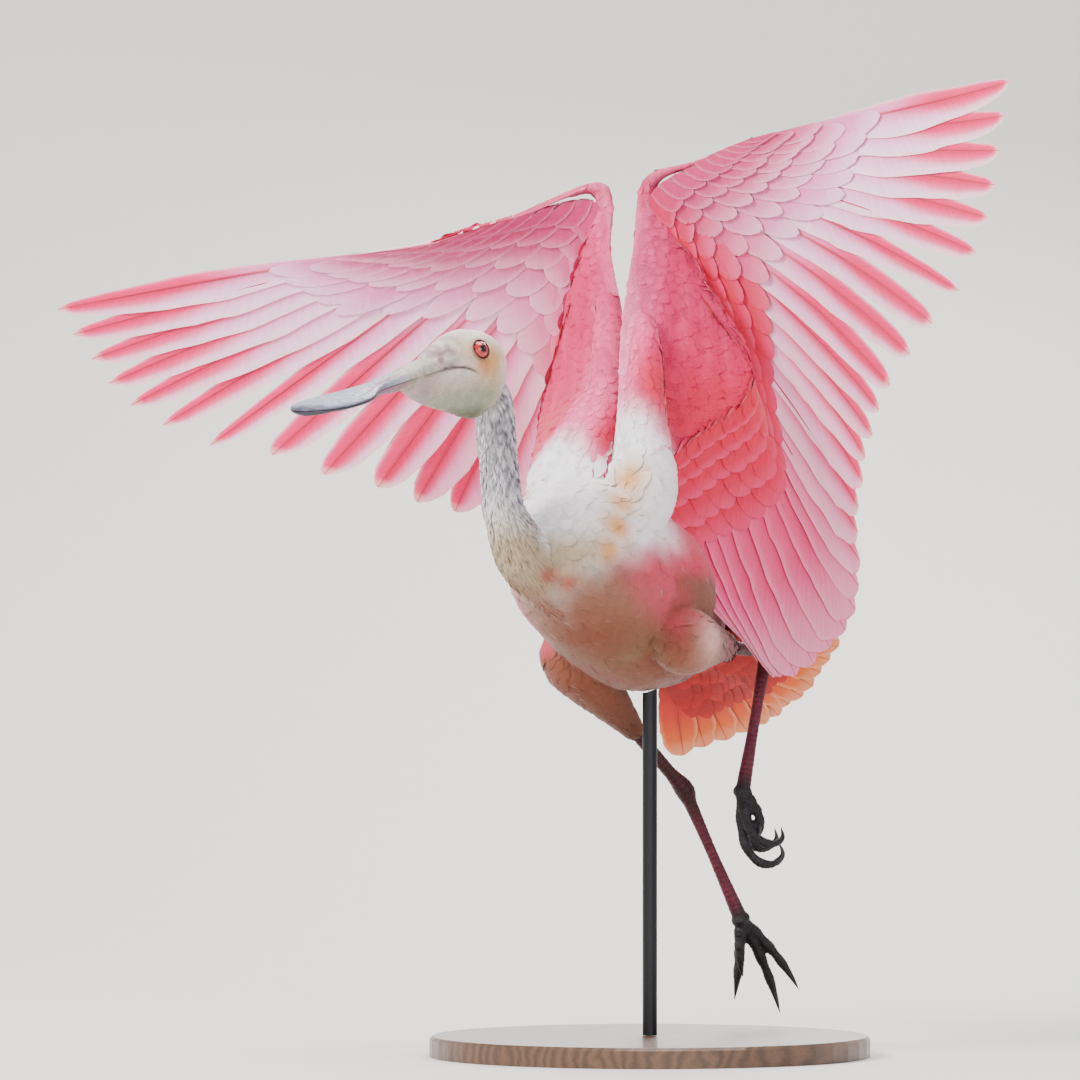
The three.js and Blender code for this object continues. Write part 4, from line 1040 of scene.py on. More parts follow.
def keratin(name, roughness, pit):
    """Bill horn: living keratin over bone, worn by sand and water to a satin gloss with fine scratches."""
    material, tree, surface = finish(name)
    where = knot(tree, "ShaderNodeTexCoord").outputs["Object"]
    stretch = knot(tree, "ShaderNodeMapping", links={"Vector": where, "Scale": (1.0, 0.25, 1.0)}).outputs[0]
    scratch = knot(tree, "ShaderNodeTexNoise",
                   links={"Vector": stretch, "Scale": 900.0, "Detail": 5.0}).outputs["Fac"]
    blotch = knot(tree, "ShaderNodeTexNoise",
                  links={"Vector": where, "Scale": 260.0, "Detail": 4.0}).outputs["Fac"]
    coloured = vary(tree, tone(tree), ramp(tree, blotch, (0.36, 0), (0.64, 1)), 0.8, 1.12)
    tree.links.new(vary(tree, coloured, scratch, 0.9, 1.1), surface.inputs["Base Color"])
    rough = knot(tree, "ShaderNodeMapRange",
                 links={"Value": blotch, "To Min": roughness - 0.1, "To Max": roughness + 0.15})
    tree.links.new(rough.outputs[0], surface.inputs["Roughness"])
    bump = knot(tree, "ShaderNodeBump", links={"Height": blotch, "Strength": 0.6, "Distance": pit}).outputs[0]
    fine = knot(tree, "ShaderNodeBump",
                links={"Height": scratch, "Strength": 0.3, "Distance": pit / 2, "Normal": bump})
    tree.links.new(fine.outputs[0], surface.inputs["Normal"])
    surface.inputs["IOR"].default_value = 1.54
    return material


def glossy_eye():
    """A living eye: wet cornea over a red iris, so a hard clear gloss over a streaked matt disc."""
    material, tree, surface = finish("Cornea over red iris, wet")
    where = knot(tree, "ShaderNodeTexCoord").outputs["Object"]
    mottle = knot(tree, "ShaderNodeTexNoise",
                  links={"Vector": where, "Scale": 1600.0, "Detail": 4.0}).outputs["Fac"]
    tree.links.new(vary(tree, tone(tree), mottle, 0.75, 1.25), surface.inputs["Base Color"])
    surface.inputs["Roughness"].default_value = 0.25
    surface.inputs["Coat Weight"].default_value = 1.0
    surface.inputs["Coat Roughness"].default_value = 0.02
    surface.inputs["IOR"].default_value = 1.38
    return material


def eye_axes(side):
    """The way the eye looks, and two ways across it, in the head's frame."""
    look = unit(np.array((0.22, 1.0 * side, 0.3)))
    ahead = unit(np.cross(look, (0, 0, 1)) * side)
    return look, ahead, np.cross(look, ahead) * side


def eye_ball(side, material):
    look, ahead, up = eye_axes(side)
    angle = np.linspace(0, math.pi, 40)[:, None]
    around = np.linspace(0, 2 * math.pi, 56, endpoint=False)[None, :]
    radius = EYE_RADIUS + 0.45 * np.exp(-(angle / 0.5) ** 2)
    spot = (look * np.cos(angle)[...,
                                 None] + (ahead * np.cos(around)[..., None] + up * np.sin(around)[..., None])
            * np.sin(angle)[..., None]) * radius[..., None]
    centre = np.array((EYE_PLACE[0], EYE_PLACE[1] * side, EYE_PLACE[2]))
    streak = 0.5 + 0.5 * np.sin(around * 46 + 2.5 * np.sin(around * 7))
    colour = tint(srgb("b3261f") + 0 * spot, (srgb("e2553a"), streak * ease(angle, 0.34, 0.6) * 0.55),
                  (srgb("5c1210"), ease(angle, 0.74, 0.84) * 0.85),
                  (srgb("6f1512"), ease(angle, 0.42, 0.34) * 0.8),
                  (srgb("0b0708"), ease(angle, 0.365, 0.335)), (srgb("3a2422"), ease(angle, 0.9, 1.0)))
    sewn = Sewn()
    uv = np.stack(np.broadcast_arrays(around / (2 * math.pi), angle / math.pi), -1)
    sewn.grids(from_head(centre + spot)[None], colour[None], uv[None], uv[None], round_=True, flip=side < 0)
    return sewn.make("eyeball_left" if side > 0 else "eyeball_right", material)


def eye_lids(side, material):
    """Two soft rims that follow the eyeball, thicker above, with a darker wet edge inside."""
    look, ahead, up = eye_axes(side)
    centre = np.array((EYE_PLACE[0], EYE_PLACE[1] * side, EYE_PLACE[2]))
    around = np.linspace(0, 2 * math.pi, 96, endpoint=False)[:, None]
    ring = np.linspace(0, 2 * math.pi, 18, endpoint=False)[None, :]
    upper = ease(np.sin(around), -0.2, 0.6)
    open_ = 0.93 - 0.1 * upper - 0.03 * np.cos(2 * around)
    wide = 0.17 + 0.09 * upper + 0.02 * np.sin(around * 17) * np.sin(around * 5)
    angle = open_ + wide * (1 - np.cos(ring)) * 0.9
    height = EYE_RADIUS + 0.35 + (0.85 + 0.35 * upper) * np.sin(ring) - 0.9 * (1 - np.cos(ring)) * 0.5
    height = height + 0.12 * np.sin(around * 31 + ring * 2)
    spot = (look * np.cos(angle)[...,
                                 None] + (ahead * np.cos(around)[..., None] + up * np.sin(around)[..., None])
            * np.sin(angle)[..., None]) * height[..., None]
    colour = tint(srgb("c7a596") + 0 * spot, (srgb("6b3430"), ease(np.cos(ring) + 0 * around, 0.3, 0.9)),
                  (srgb("dcc7b0"), ease(-np.cos(ring) + 0 * around, 0.2, 0.9) * 0.7))
    made = Sewn()
    closed = np.concatenate((spot, spot[:1]))
    tones = np.concatenate((colour, colour[:1]))
    uv = np.stack(np.broadcast_arrays(np.linspace(0, 1, len(closed))[:, None], ring / (2 * math.pi)), -1)
    made.grids(from_head(centre + closed)[None], tones[None], uv[None], uv[None], round_=True, flip=side < 0)
    return made.make("eyelids_left" if side > 0 else "eyelids_right", material)


def toe_line(start, toe):
    ahead, curl_to, length, curl, hold = toe
    ahead = unit(np.array(ahead, float))
    sole = np.array(curl_to, float)
    sole = unit(sole - ahead * (ahead @ sole))
    line = [np.array(start, float)]
    stride = length / (len(TOE_SIZE) - 1)
    for joint in range(1, len(TOE_SIZE)):
        angle = math.radians(curl) * (joint / (len(TOE_SIZE) - 1)) ** hold
        line.append(line[-1] + stride * (ahead * math.cos(angle) + sole * math.sin(angle)))
    return line, np.cross(ahead, sole), sole


def leg_bodies(leg):
    ankle, foot = np.array(leg["ankle"], float), np.array(leg["foot"], float)
    shank = Limb([mid(leg["knee"], ankle, THIGH_END - 0.1), mid(leg["knee"], ankle, 0.85), ankle,
                  mid(ankle, foot, 0.1)], even(*SHANK_SIZE))
    tarsus = Limb([mid(ankle, foot, 0.02), mid(ankle, foot, 0.5), foot], even(*TARSUS_SIZE))
    down = unit(foot - ankle)
    ball = foot + down * 5
    palm = Limb([foot, ball, ball + down * 4], even(5.2, 7, 4))
    toes = []
    for toe in leg["toes"]:
        line, aside, sole = toe_line(ball, toe)
        toes.append((Limb(line, even(*TOE_SIZE), aside=aside), line, aside, sole))
    return shank, tarsus, palm, toes, ball


def leg_tone(p, leg):
    foot, ankle = (np.array(leg[k], float) for k in ("foot", "ankle"))
    down = unit(foot - ankle)
    below = (p - foot) @ down
    rough = grain(p, 7.0, 1.0)
    return tint(LEG_MAROON + 0 * p, (LEG_MAUVE, ease((p - ankle) @ down, 4, 40) * 0.8),
                (srgb("6d3442"), ease(rough, 0.0, 0.4) * 0.5),
                # Darker round the ankle joint: painted shade.
                (srgb("47252c"), near(p, leg["ankle"], 12) * 0.6),
                (FOOT_GREY, ease(below, -12, 6)),
                (srgb("5a5158"), ease(rough, 0.1, 0.5) * ease(below, -6, 6) * 0.6))


def leg_piece(leg, material, claw_material):
    """Bare leg in scaly skin, scutes across the front of tarsus and toes, and four claws."""
    shank, tarsus, palm, toes, ball = leg_bodies(leg)
    bodies = [tube(shank, -0.2, 30, 20), tube(tarsus, -0.2, 40, 20), tube(palm, -0.2, 10, 20)]
    bodies += [tube(toe, -0.1, 40, 14, 0.0, 0.84) for toe, _, _, _ in toes]
    skin = melt(leg["name"] + "_skin", bodies, 0.85, 5)
    p = read_places(skin.data)
    count = len(p)
    normals = np.empty(count * 3, np.float32)
    skin.data.vertices.foreach_get("normal", normals)
    normals = normals.reshape(-1, 3).astype(float) @ BIRD_TURN
    lines = [(tarsus.line.p, 3.6), (shank.line.p, 4.2)] + [(t.line.p, 3.0) for t, _, _, _ in toes]
    best, run = np.full(count, 1e9), np.zeros(count)
    for line, pitch in lines:
        reach = np.concatenate(([0], np.cumsum(np.linalg.norm(np.diff(line, axis=0), axis=1))))
        for i in range(0, len(line), 6):
            d = np.linalg.norm(p - line[i], axis=1)
            closer = d < best
            best[closer], run[closer] = d[closer], reach[i] / pitch
    # Each scute is a low dome with a narrow crease between it and the next.
    phase = np.mod(run + 0.18 * grain(p, 3.0, 7.0), 1)
    scute = 0.28 * np.minimum(1, 3.2 * np.minimum(phase, 1 - phase)) - 0.14
    p = p + normals * (scute + 0.16 * grain(p, 1.8, 3.0))[:, None]
    write_places(skin.data, p)
    # Darker in the creases between scutes: painted shade.
    colour = leg_tone(p, leg) * blend(0.62, 1.08, np.minimum(1, 4 * np.minimum(phase, 1 - phase)))[:, None]
    finish_skin(skin, np.clip(colour, 0, 1), material)
    claws = Sewn()
    for toe, _, _, _ in toes:
        claws.grids(*claw(toe), round_=True)
    return skin, claws.make(leg["name"] + "_claws", claw_material)


def claw(toe):
    """A curved claw that takes over at the last joint of a toe."""
    t = np.linspace(0, 1, 14)
    u = 0.80 + 0.2 * t
    centre = toe.line.at(u)
    along = toe.line.along(u)
    extra = np.clip(t - 0.8, 0, 1)[:, None] * 4
    centre = centre + along * extra
    aside = unit(toe.aside - along * (along @ toe.aside)[:, None])
    up = np.cross(aside, along)
    radius = 2.5 * (1 - t) ** 0.75 + 0.12
    ring = np.linspace(0, 2 * math.pi, 12, endpoint=False)
    places = (centre[:, None] + aside[:, None] * (radius[:, None] * np.cos(ring) * 0.8)[..., None]
              + up[:, None] * (radius[:, None] * np.sin(ring))[..., None])
    colour = np.broadcast_to(tint(CLAW_BLACK, (srgb("4a4346"), ease(t, 0.75, 1)))[:, None, :], places.shape)
    uv = np.stack(np.broadcast_arrays(ring[None, :] / 6.3, t[:, None]), -1)
    return places[None], colour[None], uv[None], uv[None]


def finish_skin(thing, colour, material):
    paint(thing.data, colour)
    thing.data.materials.clear()
    thing.data.materials.append(material)
    return thing


# Settings and operators
class SpoonbillSizes(bpy.types.PropertyGroup):
    skin_detail: FloatProperty(name="Skin detail", description="Grain of the skin's mesh", default=0.0012,
                               min=0.0008, max=0.004, subtype="DISTANCE", unit="LENGTH")
    body_feather: FloatProperty(name="Body feather", description="Length of a feather on the trunk",
                                default=0.026,
                                min=0.01, max=0.05, subtype="DISTANCE", unit="LENGTH")
    neck_feather: FloatProperty(name="Neck feather", description="Length of a feather on the neck",
                                default=0.0105,
                                min=0.005, max=0.03, subtype="DISTANCE", unit="LENGTH")
    flight_width: FloatProperty(name="Flight feather width", description="Width of a flight feather's vane",
                                default=0.036, min=0.02, max=0.06, subtype="DISTANCE", unit="LENGTH")
    flight_count: IntProperty(name="Flight feathers", description="Flight feathers in each wing", default=27,
                              min=18, max=34)
    tail_count: IntProperty(name="Tail feathers", description="Long feathers in the tail", default=12,
                            min=8, max=16)


class SpoonbillColours(bpy.types.PropertyGroup):
    floor: FloatVectorProperty(name="Floor", description="Colour of the floor and backdrop", size=3,
                               subtype="COLOR", default=tuple(srgb("e9e8e6")), min=0, max=1)
    walnut: FloatVectorProperty(name="Base wood", description="Mean colour of the turned base", size=3,
                                subtype="COLOR", default=tuple(srgb("5a3d28")), min=0, max=1)


def sizes():
    return bpy.context.scene.spoonbill_sizes


def colours():
    return bpy.context.scene.spoonbill_colours


class SPOONBILL_OT_stage(bpy.types.Operator):
    """Pale floor and backdrop, soft studio lights and the camera"""
    bl_idname = "spoonbill.stage"
    bl_label = "Stage, lights and camera"

    def execute(self, context):
        scene = context.scene
        profile = [(-9.0, 0.0), (1.6, 0.0)]
        profile += [(1.6 + 1.4 * math.sin(a), 1.4 - 1.4 * math.cos(a)) for a in np.linspace(0.08,
                math.pi / 2, 18)]
        profile += [(3.0, 7.0)]
        turn = np.array(Matrix.Rotation(math.radians(28), 3, "Z"))
        grid = np.array([[(x, y, z) for x in np.linspace(-9, 9, 7)] for y, z in profile]) @ turn.T
        rows, cols = grid.shape[:2]
        index = np.arange(rows * cols).reshape(rows, cols)
        quads = np.stack((index[:-1, :-1], index[:-1, 1:], index[1:, 1:], index[1:, :-1]), -1).reshape(-1, 4)
        material, tree, surface = finish("Seamless paper, matt")
        where = knot(tree, "ShaderNodeTexCoord").outputs["Object"]
        fibre = knot(tree, "ShaderNodeTexNoise",
                     links={"Vector": where, "Scale": 60.0, "Detail": 6.0}).outputs["Fac"]
        tree.links.new(vary(tree, tone(tree), fibre, 0.985, 1.015), surface.inputs["Base Color"])
        surface.inputs["Roughness"].default_value = 0.9
        tones = np.tile(np.array(colours().floor), (rows * cols, 1))
        floor = mesh_object("paper_floor", grid.reshape(-1, 3), quads, tones, material, {})
        for name, place, size, power, colour in (
                ("key", (-1.3, -2.3, 2.4), 1.3, 190, (1.0, 0.98, 0.95)),
                ("fill", (2.6, -2.4, 1.4), 2.2, 55, (0.96, 0.98, 1.0)),
                ("top", (0.2, 0.2, 3.0), 2.0, 80, (1.0, 1.0, 1.0)),
                ("low", (0.6, -2.6, 0.25), 1.4, 8, (1.0, 0.97, 0.95)),
                ("back", (-0.8, 2.2, 1.7), 1.2, 60, (1.0, 0.97, 0.96))):
            light = bpy.data.lights.new(name, "AREA")
            light.shape, light.size, light.energy, light.color = "DISK", size, power, colour
            lamp = bpy.data.objects.new(name, light)
            lamp.location = place
            lamp.rotation_euler = (Vector((0, 0, 0.4)) - Vector(place)).to_track_quat("-Z", "Y").to_euler()
            scene.collection.objects.link(lamp)
        world = bpy.data.worlds.new("Soft studio")
        world.use_nodes = True
        world.node_tree.nodes["Background"].inputs["Color"].default_value = (0.93, 0.95, 1.0, 1)
        world.node_tree.nodes["Background"].inputs["Strength"].default_value = 0.55
        scene.world = world
        camera = bpy.data.cameras.new("camera")
        camera.sensor_width, camera.lens = 36, 36 * 6.0 / 0.7344
        camera.clip_start, camera.clip_end = 0.1, 60
        eye = bpy.data.objects.new("camera", camera)
        azimuth, target = math.radians(28), Vector((-0.066, -0.035, 0.351))
        back = Vector((math.sin(azimuth), -math.cos(azimuth), 0))
        eye.location = target + back * 6.0
        eye.rotation_euler = (-back).to_track_quat("-Z", "Y").to_euler()
        scene.collection.objects.link(eye)
        scene.camera = eye
        return {"FINISHED"}


class SPOONBILL_OT_skin(bpy.types.Operator):
    """One skin for trunk, neck, bare head, thighs and the arms of the wings"""
    bl_idname = "spoonbill.skin"
    bl_label = "Skin"

    def execute(self, context):
        bodies = [tube(TRUNK, -2.6, 60, 56), tube(NECK, -1.6, 50, 36)]
        head, faces = tube(HEAD, 0.0, 90, 72)
        bodies.append((from_head(head), faces))
        for leg in (LEFT_LEG, RIGHT_LEG):
            bodies.append(tube(thigh_limb(leg), -1.6, 40, 32))
        for shoulder in SHOULDERS:
            bodies.append(tube(shoulder, 0.0, 40, 32))
        for wing in (LEFT_WING, RIGHT_WING):
            bodies.append(tube(Arm(wing), -1.4, 70, 40, 0.0, 1.0))
        skin = melt("spoonbill_skin", bodies, sizes().skin_detail * 1000, 6)
        p = soften_joins(skin, 70)
        p = sculpt_head(p)
        write_places(skin.data, p)
        colour = coat_tone(p, [(leg, thigh_limb(leg)) for leg in (LEFT_LEG, RIGHT_LEG)])
        h = to_head(p)
        bare = (h[:, 0] > -40) & (h[:, 0] < 80) & (np.abs(h[:, 1]) < 30) & (np.abs(h[:, 2]) < 42)
        colour[bare] = head_tone(p[bare])
        gap, along = distance_to_line(h[bare] * (1, 0, 1), np.array(MOUTH_LINE) * (1, 0, 1))
        # A dark line painted along the mouth groove: painted shade in the groove.
        dark = np.exp(-(gap / 0.9) ** 2)[:, None] * ease(along, 0, 0.2)[:, None]
        colour[bare] = blend(colour[bare], srgb("4a3c38"), dark * 0.85)
        finish_skin(skin, np.clip(colour, 0, 1), bare_skin("Bare facial skin, creased", 0.0016, 0.55))
        ride(skin, "torso", "neck", "head", "leg_left_thigh", "leg_right_thigh", slot="head_skin")
        return {"FINISHED"}


class SPOONBILL_OT_face(bpy.types.Operator):
    """Eyes, lids and the two jaws of the bill"""
    bl_idname = "spoonbill.face"
    bl_label = "Eyes, lids and bill"

    def execute(self, context):
        cornea, lid = glossy_eye(), bare_skin("Eyelid skin, moist", 0.0009, 0.4)
        for side, node in ((1, "eye_left"), (-1, "eye_right")):
            ride(eye_ball(side, cornea), node, slot="iris")
            ride(eye_lids(side, lid), slot="head_skin")
        horn = keratin("Bill horn, worn keratin", 0.42, 0.0007)
        ride(bill_jaw(True, horn), "bill_upper", slot="bill_horn")
        ride(bill_jaw(False, horn), "bill_lower", slot="bill_horn")
        return {"FINISHED"}


class SPOONBILL_OT_legs(bpy.types.Operator):
    """Scaly legs, feet and claws"""
    bl_idname = "spoonbill.legs"
    bl_label = "Legs, feet and claws"

    def execute(self, context):
        scales = bare_skin("Leg skin, horny scutes", 0.0022, 0.5)
        horn = keratin("Claw keratin", 0.35, 0.0003)
        for leg in (LEFT_LEG, RIGHT_LEG):
            skin, claws = leg_piece(leg, scales, horn)
            name = leg["name"]
            ride(skin, name + "_shank", name + "_tarsus", name + "_foot", slot="leg_skin")
            ride(claws, slot="foot_skin")
        return {"FINISHED"}


class SPOONBILL_OT_plumage(bpy.types.Operator):
    """Small feathers of the trunk, neck and thighs"""
    bl_idname = "spoonbill.plumage"
    bl_label = "Body feathers"

    def execute(self, context):
        down = feather_vane("Contour feathers, preened", 0.75, 0.25, 0.0007, 0.0004)
        length = sizes().body_feather * 1000
        legs = [(leg, thigh_limb(leg)) for leg in (LEFT_LEG, RIGHT_LEG)]
        skin = bpy.data.objects["spoonbill_skin"]
        places = read_places(skin.data)
        places = places[~inside(NECK, places, 1.5) | (places[:, 1] > -112)]
        h = to_head(places)
        places = places[(h[:, 0] > 60) | (np.linalg.norm(h, axis=1) > 44)]
        thigh = np.min([distance_to_line(places, np.array(limb.line.p[::8]))[0] for _, limb in legs], axis=0)
        thigh = (thigh < 34) & (places[:, 2] < -45)
        trunk = (places[:, 2] < 64) & (places[:, 1] > -140) & ~thigh

        def lie(p):
            way = np.array((0, 1, -0.1)) + 0 * p
            way += np.array((0, 0.1, 0.5)) * ease(p[:, 2], 44, 80)[:, None]
            way += np.array((0, -0.5, -0.5)) * (ease(p[:, 1], -80, -120) * ease(p[:, 2], 0, 30))[:, None]
            for leg, limb in legs:
                gap, along = distance_to_line(p, np.array(limb.line.p[::8]))
                down = unit(np.array(leg["ankle"], float) - np.array(leg["knee"], float))
                way = blend(way, down, (ease(gap, 46, 32) * ease(along, 0.1, 0.45))[:, None])
            return unit(way)

        def chart(p):
            turn = np.arctan2(p[:, 2], p[:, 0]) / (2 * math.pi) + 0.5
            return np.stack((0.02 + 0.94 * turn, 0.02 + 0.94 * np.clip((p[:, 1] + 160) / 320, 0, 1)), -1)
        for name, mask, apart, size, wide, slot in (
                ("trunk_feathers", trunk, 5.6, length, 14, "white_plumage"),
                ("thigh_feathers", thigh, 4.4, length * 0.6, 8.5, "leg_plumage")):
            grown = Sewn()
            spots = scatter(places[mask], apart, 3)
            fit = blend(0.6, 1.0, ease(spots[:, 1], -135, -60))
            coat(grown, skin, spots, size * fit, wide * fit, lie, lambda p: coat_tone(p, legs), chart,
                 tip=0.8, twist=0.16)
            ride(grown.make(name, down), slot=slot)
        neck = Sewn()
        u, q = rows_on(NECK, 0.03, 0.97, 2.6, 2.7)

        def neck_tone(p):
            mottle = grain(p * (1, 1, 0.6), 3.0, 2.0)
            low, front = ease(p[..., 2], 2, -22), ease(p[..., 1], -132, -146)
            # More dark flecks and less white on the neck's +X side: painted shade over the neck's own mottle.
            right = ease(p[..., 0], -14, 10)
            grey = tint(NECK_GREY, (NECK_DARK, ease(mottle, 0.0, 0.4) * (0.25 + 0.55 * right)),
                        (WHITE, ease(mottle, -0.05, -0.4) * (0.6 - 0.25 * right)))
            grey = tint(grey, (WHITE, low * (1 - front) * 0.8),
                        # Grey-brown low on the front of the neck's base: painted shade.
                        (srgb("9a8c7a"), ease(p[..., 2], 4, -24) * front * 0.6))
            return tint(grey, (body_tone(p), ease(p[..., 2] + 0.5 * (p[..., 1] + 130), -14, -34)))
        size = blend(1.5, 0.9, ease(u, 0.1, 0.5))
        plumes(neck, NECK, u, q, sizes().neck_feather * 1000 * size, 2.6 * size, neck_tone,
               (0.6, 0.02, 0.3, 0.45),
               lie=(-1, 0), root=-1.4, tip=0.6, rows=6, cols=4, seed=5, ragged=0.14, twist=0.2,
               shape=POINTED_OUTLINE)
        ride(neck.make("neck_feathers", down), slot="neck_plumage")
        return {"FINISHED"}


class SPOONBILL_OT_wings(bpy.types.Operator):
    """Flight feathers, coverts over and under, and the small feathers of the arm"""
    bl_idname = "spoonbill.wings"
    bl_label = "Wing feathers"

    def execute(self, context):
        vanes = feather_vane("Flight feather vanes, rosy keratin", 0.55, 0.3, 0.0009, 0.0005)
        soft = feather_vane("Wing covert feathers, soft", 0.7, 0.35, 0.0008, 0.0004)
        for wing in (LEFT_WING, RIGHT_WING):
            name = wing["name"]
            sheet = wing_sheet(wing)
            count = sizes().flight_count
            pitch = INNERMOST / (count - 1)
            rng = np.random.default_rng(11 if wing is LEFT_WING else 12)
            flights = Sewn()
            for i in range(count):
                u = pitch * i
                width = sizes().flight_width * 1000 * blend(0.95, 1.2, ease(u, 0.2, 0.8))
                shape = POINTED_OUTLINE if u < 0.24 else ROUND_OUTLINE
                vane(flights, sheet, u, pitch, 1.0 + rng.normal(0, 0.006), width, shape, wing_tones(wing),
                     (i / (count + 1), 0.0, 1 / (count + 1), 1.0), rows=34, cols=9, droop=1.5, rng=rng)
            ride(flights.make(name + "_flight_feathers", vanes), name + "_inner", name + "_outer",
                 slot="pink_plumage")
            cover = Sewn()
            for face in (1, -1):
                for row, (many, reach, wide, root, tip) in enumerate((
                        (24, 0.45, 28, 1.8, 2.6), (24, 0.35, 28, 2.6, 3.8), (26, 0.25, 25, 3.8, 5.2),
                        (28, 0.17, 22, 5.2, 6.4), (30, 0.1, 18, 6.2, 7.4))):
                    gap = (INNERMOST + 0.03) / many
                    for i in range(many):
                        at = gap * (i + 0.5 * (row % 2) + 0.25)
                        vane(cover, sheet, at, gap, reach * (1 + rng.normal(0, 0.02)), wide, COVERT_OUTLINE,
                             covert_tones(wing, row),
                             (0.02 + 0.94 * at, 0.02 + 0.4 * (face > 0) + 0.08 * row, 0.003, 0.003),
                             face * root, face * tip, rows=12, cols=7, step=0.7, depth=0.06, quill=None,
                             rng=rng, fray=0.02)
            ride(cover.make(name + "_coverts", soft), slot="pink_plumage")
            marginal = Sewn()
            skin = bpy.data.objects["spoonbill_skin"]
            places = read_places(skin.data)
            line = np.stack([wing[k] for k in ("shoulder", "edge", "wrist", "hand_end")]).astype(float)
            tail_ward = np.array(wing["tips"][3], float) - np.array(wing["wrist"], float)
            gap = distance_to_line(places, line)[0]
            mine = (gap < 110) & (places[:, 2] > 60) & (wing_side(places) == wing["side"])
            head = to_head(places)
            mine &= np.linalg.norm(head, axis=1) > 60
            spots = scatter(places[mine], 4.6, 5)
            size = blend(9.0, 17.0, ease(distance_to_line(spots, line)[0], 6, 30))

            def lie(p, line=line, back=unit(tail_ward)):
                rail = Line(line, 60).p
                nearest = rail[np.argmin(np.linalg.norm(p[:, None] - rail[None], axis=2), 1)]
                return unit(unit(p - nearest) + back * 0.8)
            coat(marginal, skin, spots, size, size * 0.62, lie, lambda p, w=wing: arm_tone(p, w, -1),
                 lambda p: np.stack((0.02 + 0.94 * np.mod(np.arctan2(p[:, 1], p[:, 0]) / 6.2832, 1),
                                     np.clip(p[:, 2] / 330, 0.02, 0.97)), -1),
                 root=-0.7, tip=0.5, rows=6, seed=20, crown=0.25, twist=0.1)
            ride(marginal.make(name + "_marginal_feathers", soft), slot="pink_plumage")
        return {"FINISHED"}


class SPOONBILL_OT_tail(bpy.types.Operator):
    """Tail fan, red feathers under it and coverts over it"""
    bl_idname = "spoonbill.tail"
    bl_label = "Tail feathers"

    def execute(self, context):
        vanes = feather_vane("Tail feather vanes, orange keratin", 0.6, 0.3, 0.0009, 0.0005)
        sheet, rng = tail_sheet(), np.random.default_rng(31)
        count = sizes().tail_count
        fan = Sewn()
        for i in range(count):
            lean = 1 if i < count / 2 else -1
            vane(fan, sheet, i / (count - 1), 1 / (count - 1), 1 + rng.normal(0, 0.01), 28, ROUND_OUTLINE,
                 tail_tones,
                 (i / (count + 1), 0.0, 1 / (count + 1), 1.0), lean=lean, lead=0.46, rows=26, droop=-1.0,
                 rng=rng,
                 fray=0.05, quill="b8502e")
        ride(fan.make("tail_fan", vanes), "tail", slot="tail_plumage")
        cover = Sewn()
        for face in (1, -1):
            for row, (many, reach, wide, root, tip) in enumerate((
                    (14, 0.7, 17, 1.6, 4.5), (14, 0.55, 17, 3.0, 6.5), (13, 0.42, 16, 4.5, 8.5),
                                                                  (12, 0.3, 15, 6.0, 9.5))):
                for i in range(many):
                    at = (i + 0.5 * (row % 2) + 0.25) / (many + 0.5)
                    lean = 1 if at < 0.5 else -1
                    vane(cover, sheet, at, 1 / many, reach * (1 + rng.normal(0, 0.06)), wide,
                         COVERT_OUTLINE, vent_tones,
                         (0.02 + 0.94 * at, 0.02 + 0.4 * (face > 0) + 0.08 * row, 0.003, 0.003), face * root,
                         face * tip, lean=lean, rows=14, cols=7, step=0.9, depth=0.1, lead=0.46, overlap=2.4,
                         quill=None, rng=rng, fray=0.07)
        ride(cover.make("tail_coverts", vanes), slot="tail_plumage")
        return {"FINISHED"}


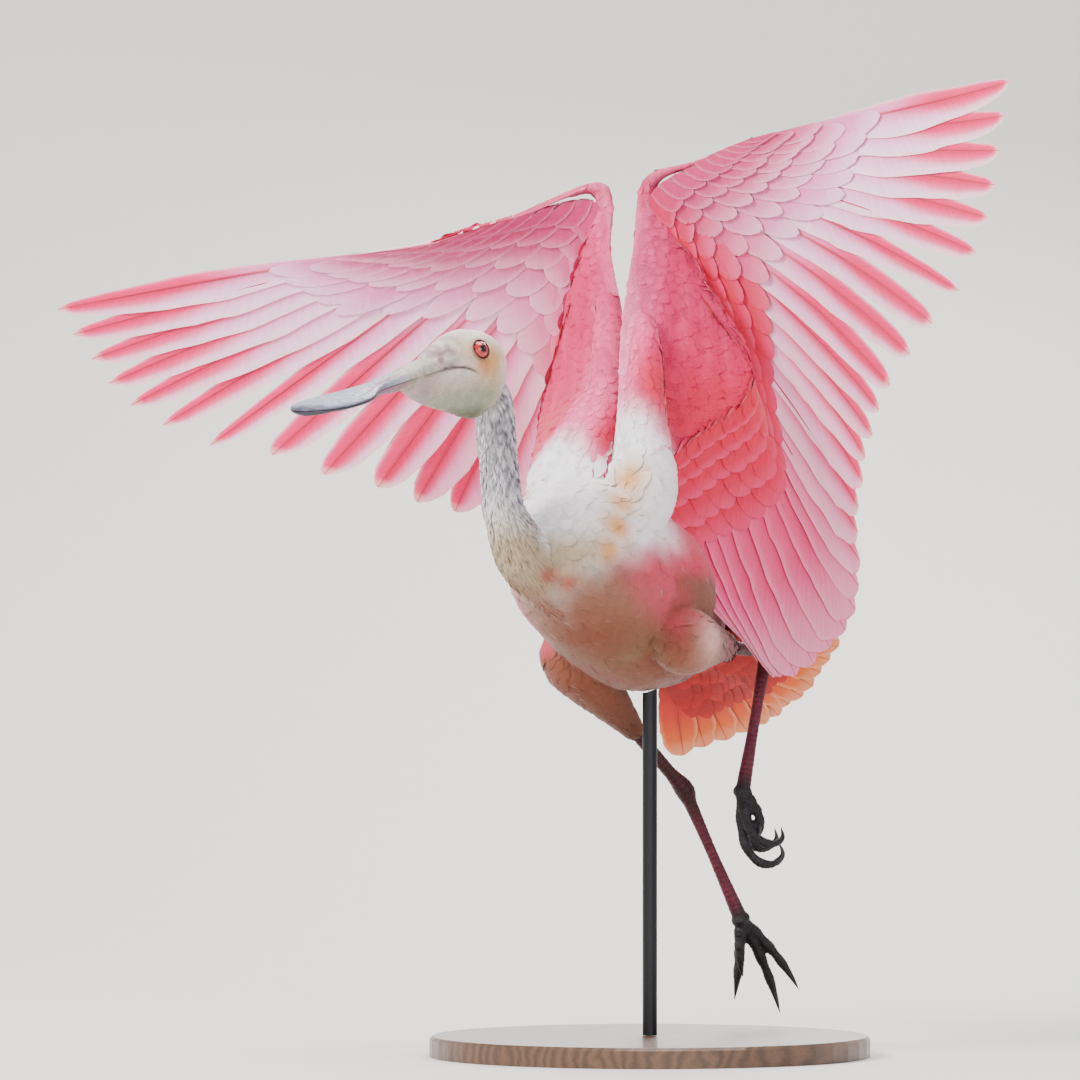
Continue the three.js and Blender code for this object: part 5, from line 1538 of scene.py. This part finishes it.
class SPOONBILL_OT_stand(bpy.types.Operator):
    """Turned walnut base and blackened steel rod"""
    bl_idname = "spoonbill.stand"
    bl_label = "Display stand"

    def execute(self, context):
        # Walnut: brown heartwood, oiled, with growth rings about 4 mm apart and fine dark pores.
        material, tree, surface = finish("Walnut, turned and oiled")
        where = knot(tree, "ShaderNodeTexCoord").outputs["Object"]
        grainy = knot(tree, "ShaderNodeMapping",
                      links={"Vector": where, "Scale": (1.0, 0.08, 1.0)}).outputs[0]
        drift = knot(tree, "ShaderNodeTexNoise",
                     links={"Vector": grainy, "Scale": 18.0, "Detail": 3.0}).outputs["Fac"]
        rings = knot(tree, "ShaderNodeTexWave", {"bands_direction": "X"},
                     {"Vector": grainy, "Scale": 40.0, "Distortion": 9.0, "Detail": 3.0, "Detail Scale": 1.2})
        pores = knot(tree, "ShaderNodeTexNoise",
                     links={"Vector": grainy, "Scale": 1400.0, "Detail": 2.0}).outputs["Fac"]
        base = knot(tree, "ShaderNodeRGB")
        base.outputs[0].default_value = (*colours().walnut, 1)
        coloured = vary(tree, base.outputs[0], rings.outputs["Fac"], 0.65, 1.25)
        coloured = vary(tree, coloured, drift, 0.8, 1.2)
        dark = ramp(tree, pores, (0.36, 0), (0.46, 1))
        tree.links.new(vary(tree, coloured, dark, 0.7, 1.0), surface.inputs["Base Color"])
        bump = knot(tree, "ShaderNodeBump", links={"Height": dark, "Strength": 0.25, "Distance": 0.0002})
        tree.links.new(bump.outputs[0], surface.inputs["Normal"])
        surface.inputs["Roughness"].default_value = 0.38
        surface.inputs["Coat Weight"].default_value = 0.25
        # Blackened steel: drawn rod, chemically blacked, so dark with a soft sheen and faint draw lines.
        steel, tree, metal = finish("Steel rod, drawn and blackened")
        where = knot(tree, "ShaderNodeTexCoord").outputs["Object"]
        drawn = knot(tree, "ShaderNodeMapping", links={"Vector": where, "Scale": (1.0, 1.0, 0.02)}).outputs[0]
        lines = knot(tree, "ShaderNodeTexNoise",
                     links={"Vector": drawn, "Scale": 1800.0, "Detail": 2.0}).outputs["Fac"]
        black = knot(tree, "ShaderNodeRGB")
        black.outputs[0].default_value = (*srgb("2e2e30"), 1)
        tree.links.new(vary(tree, black.outputs[0], lines, 0.8, 1.3), metal.inputs["Base Color"])
        rough = knot(tree, "ShaderNodeMapRange", links={"Value": lines, "To Min": 0.28, "To Max": 0.45})
        tree.links.new(rough.outputs[0], metal.inputs["Roughness"])
        metal.inputs["Metallic"].default_value = 0.9
        for node, finish_ in (("stand_base", material), ("stand_rod", steel)):
            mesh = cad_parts[node].data
            mesh.materials.clear()
            mesh.materials.append(finish_)
        return {"FINISHED"}


class SPOONBILL_PT_panel(bpy.types.Panel):
    """Lists the sizes, the colours and the pieces"""
    bl_idname = "SPOONBILL_PT_panel"
    bl_label = "Roseate spoonbill"
    bl_space_type = "VIEW_3D"
    bl_region_type = "UI"
    bl_category = "Spoonbill"

    def draw(self, context):
        for group in (sizes(), colours()):
            for key in group.__annotations__:
                self.layout.prop(group, key)
        for operator in PIECES:
            self.layout.operator(operator.bl_idname)


PIECES = (SPOONBILL_OT_stage, SPOONBILL_OT_skin, SPOONBILL_OT_face, SPOONBILL_OT_legs, SPOONBILL_OT_plumage,
          SPOONBILL_OT_wings, SPOONBILL_OT_tail, SPOONBILL_OT_stand)
CLASSES = (SpoonbillSizes, SpoonbillColours, *PIECES, SPOONBILL_PT_panel)


def register():
    for made in CLASSES:
        bpy.utils.register_class(made)
    bpy.types.Scene.spoonbill_sizes = PointerProperty(type=SpoonbillSizes)
    bpy.types.Scene.spoonbill_colours = PointerProperty(type=SpoonbillColours)


def unregister():
    del bpy.types.Scene.spoonbill_sizes
    del bpy.types.Scene.spoonbill_colours
    for made in reversed(CLASSES):
        bpy.utils.unregister_class(made)


def main():
    register()
    bpy.ops.spoonbill.stage()
    bpy.ops.spoonbill.skin()
    bpy.ops.spoonbill.face()
    bpy.ops.spoonbill.legs()
    bpy.ops.spoonbill.plumage()
    bpy.ops.spoonbill.wings()
    bpy.ops.spoonbill.tail()
    bpy.ops.spoonbill.stand()


if __name__ == "__main__":
    main()
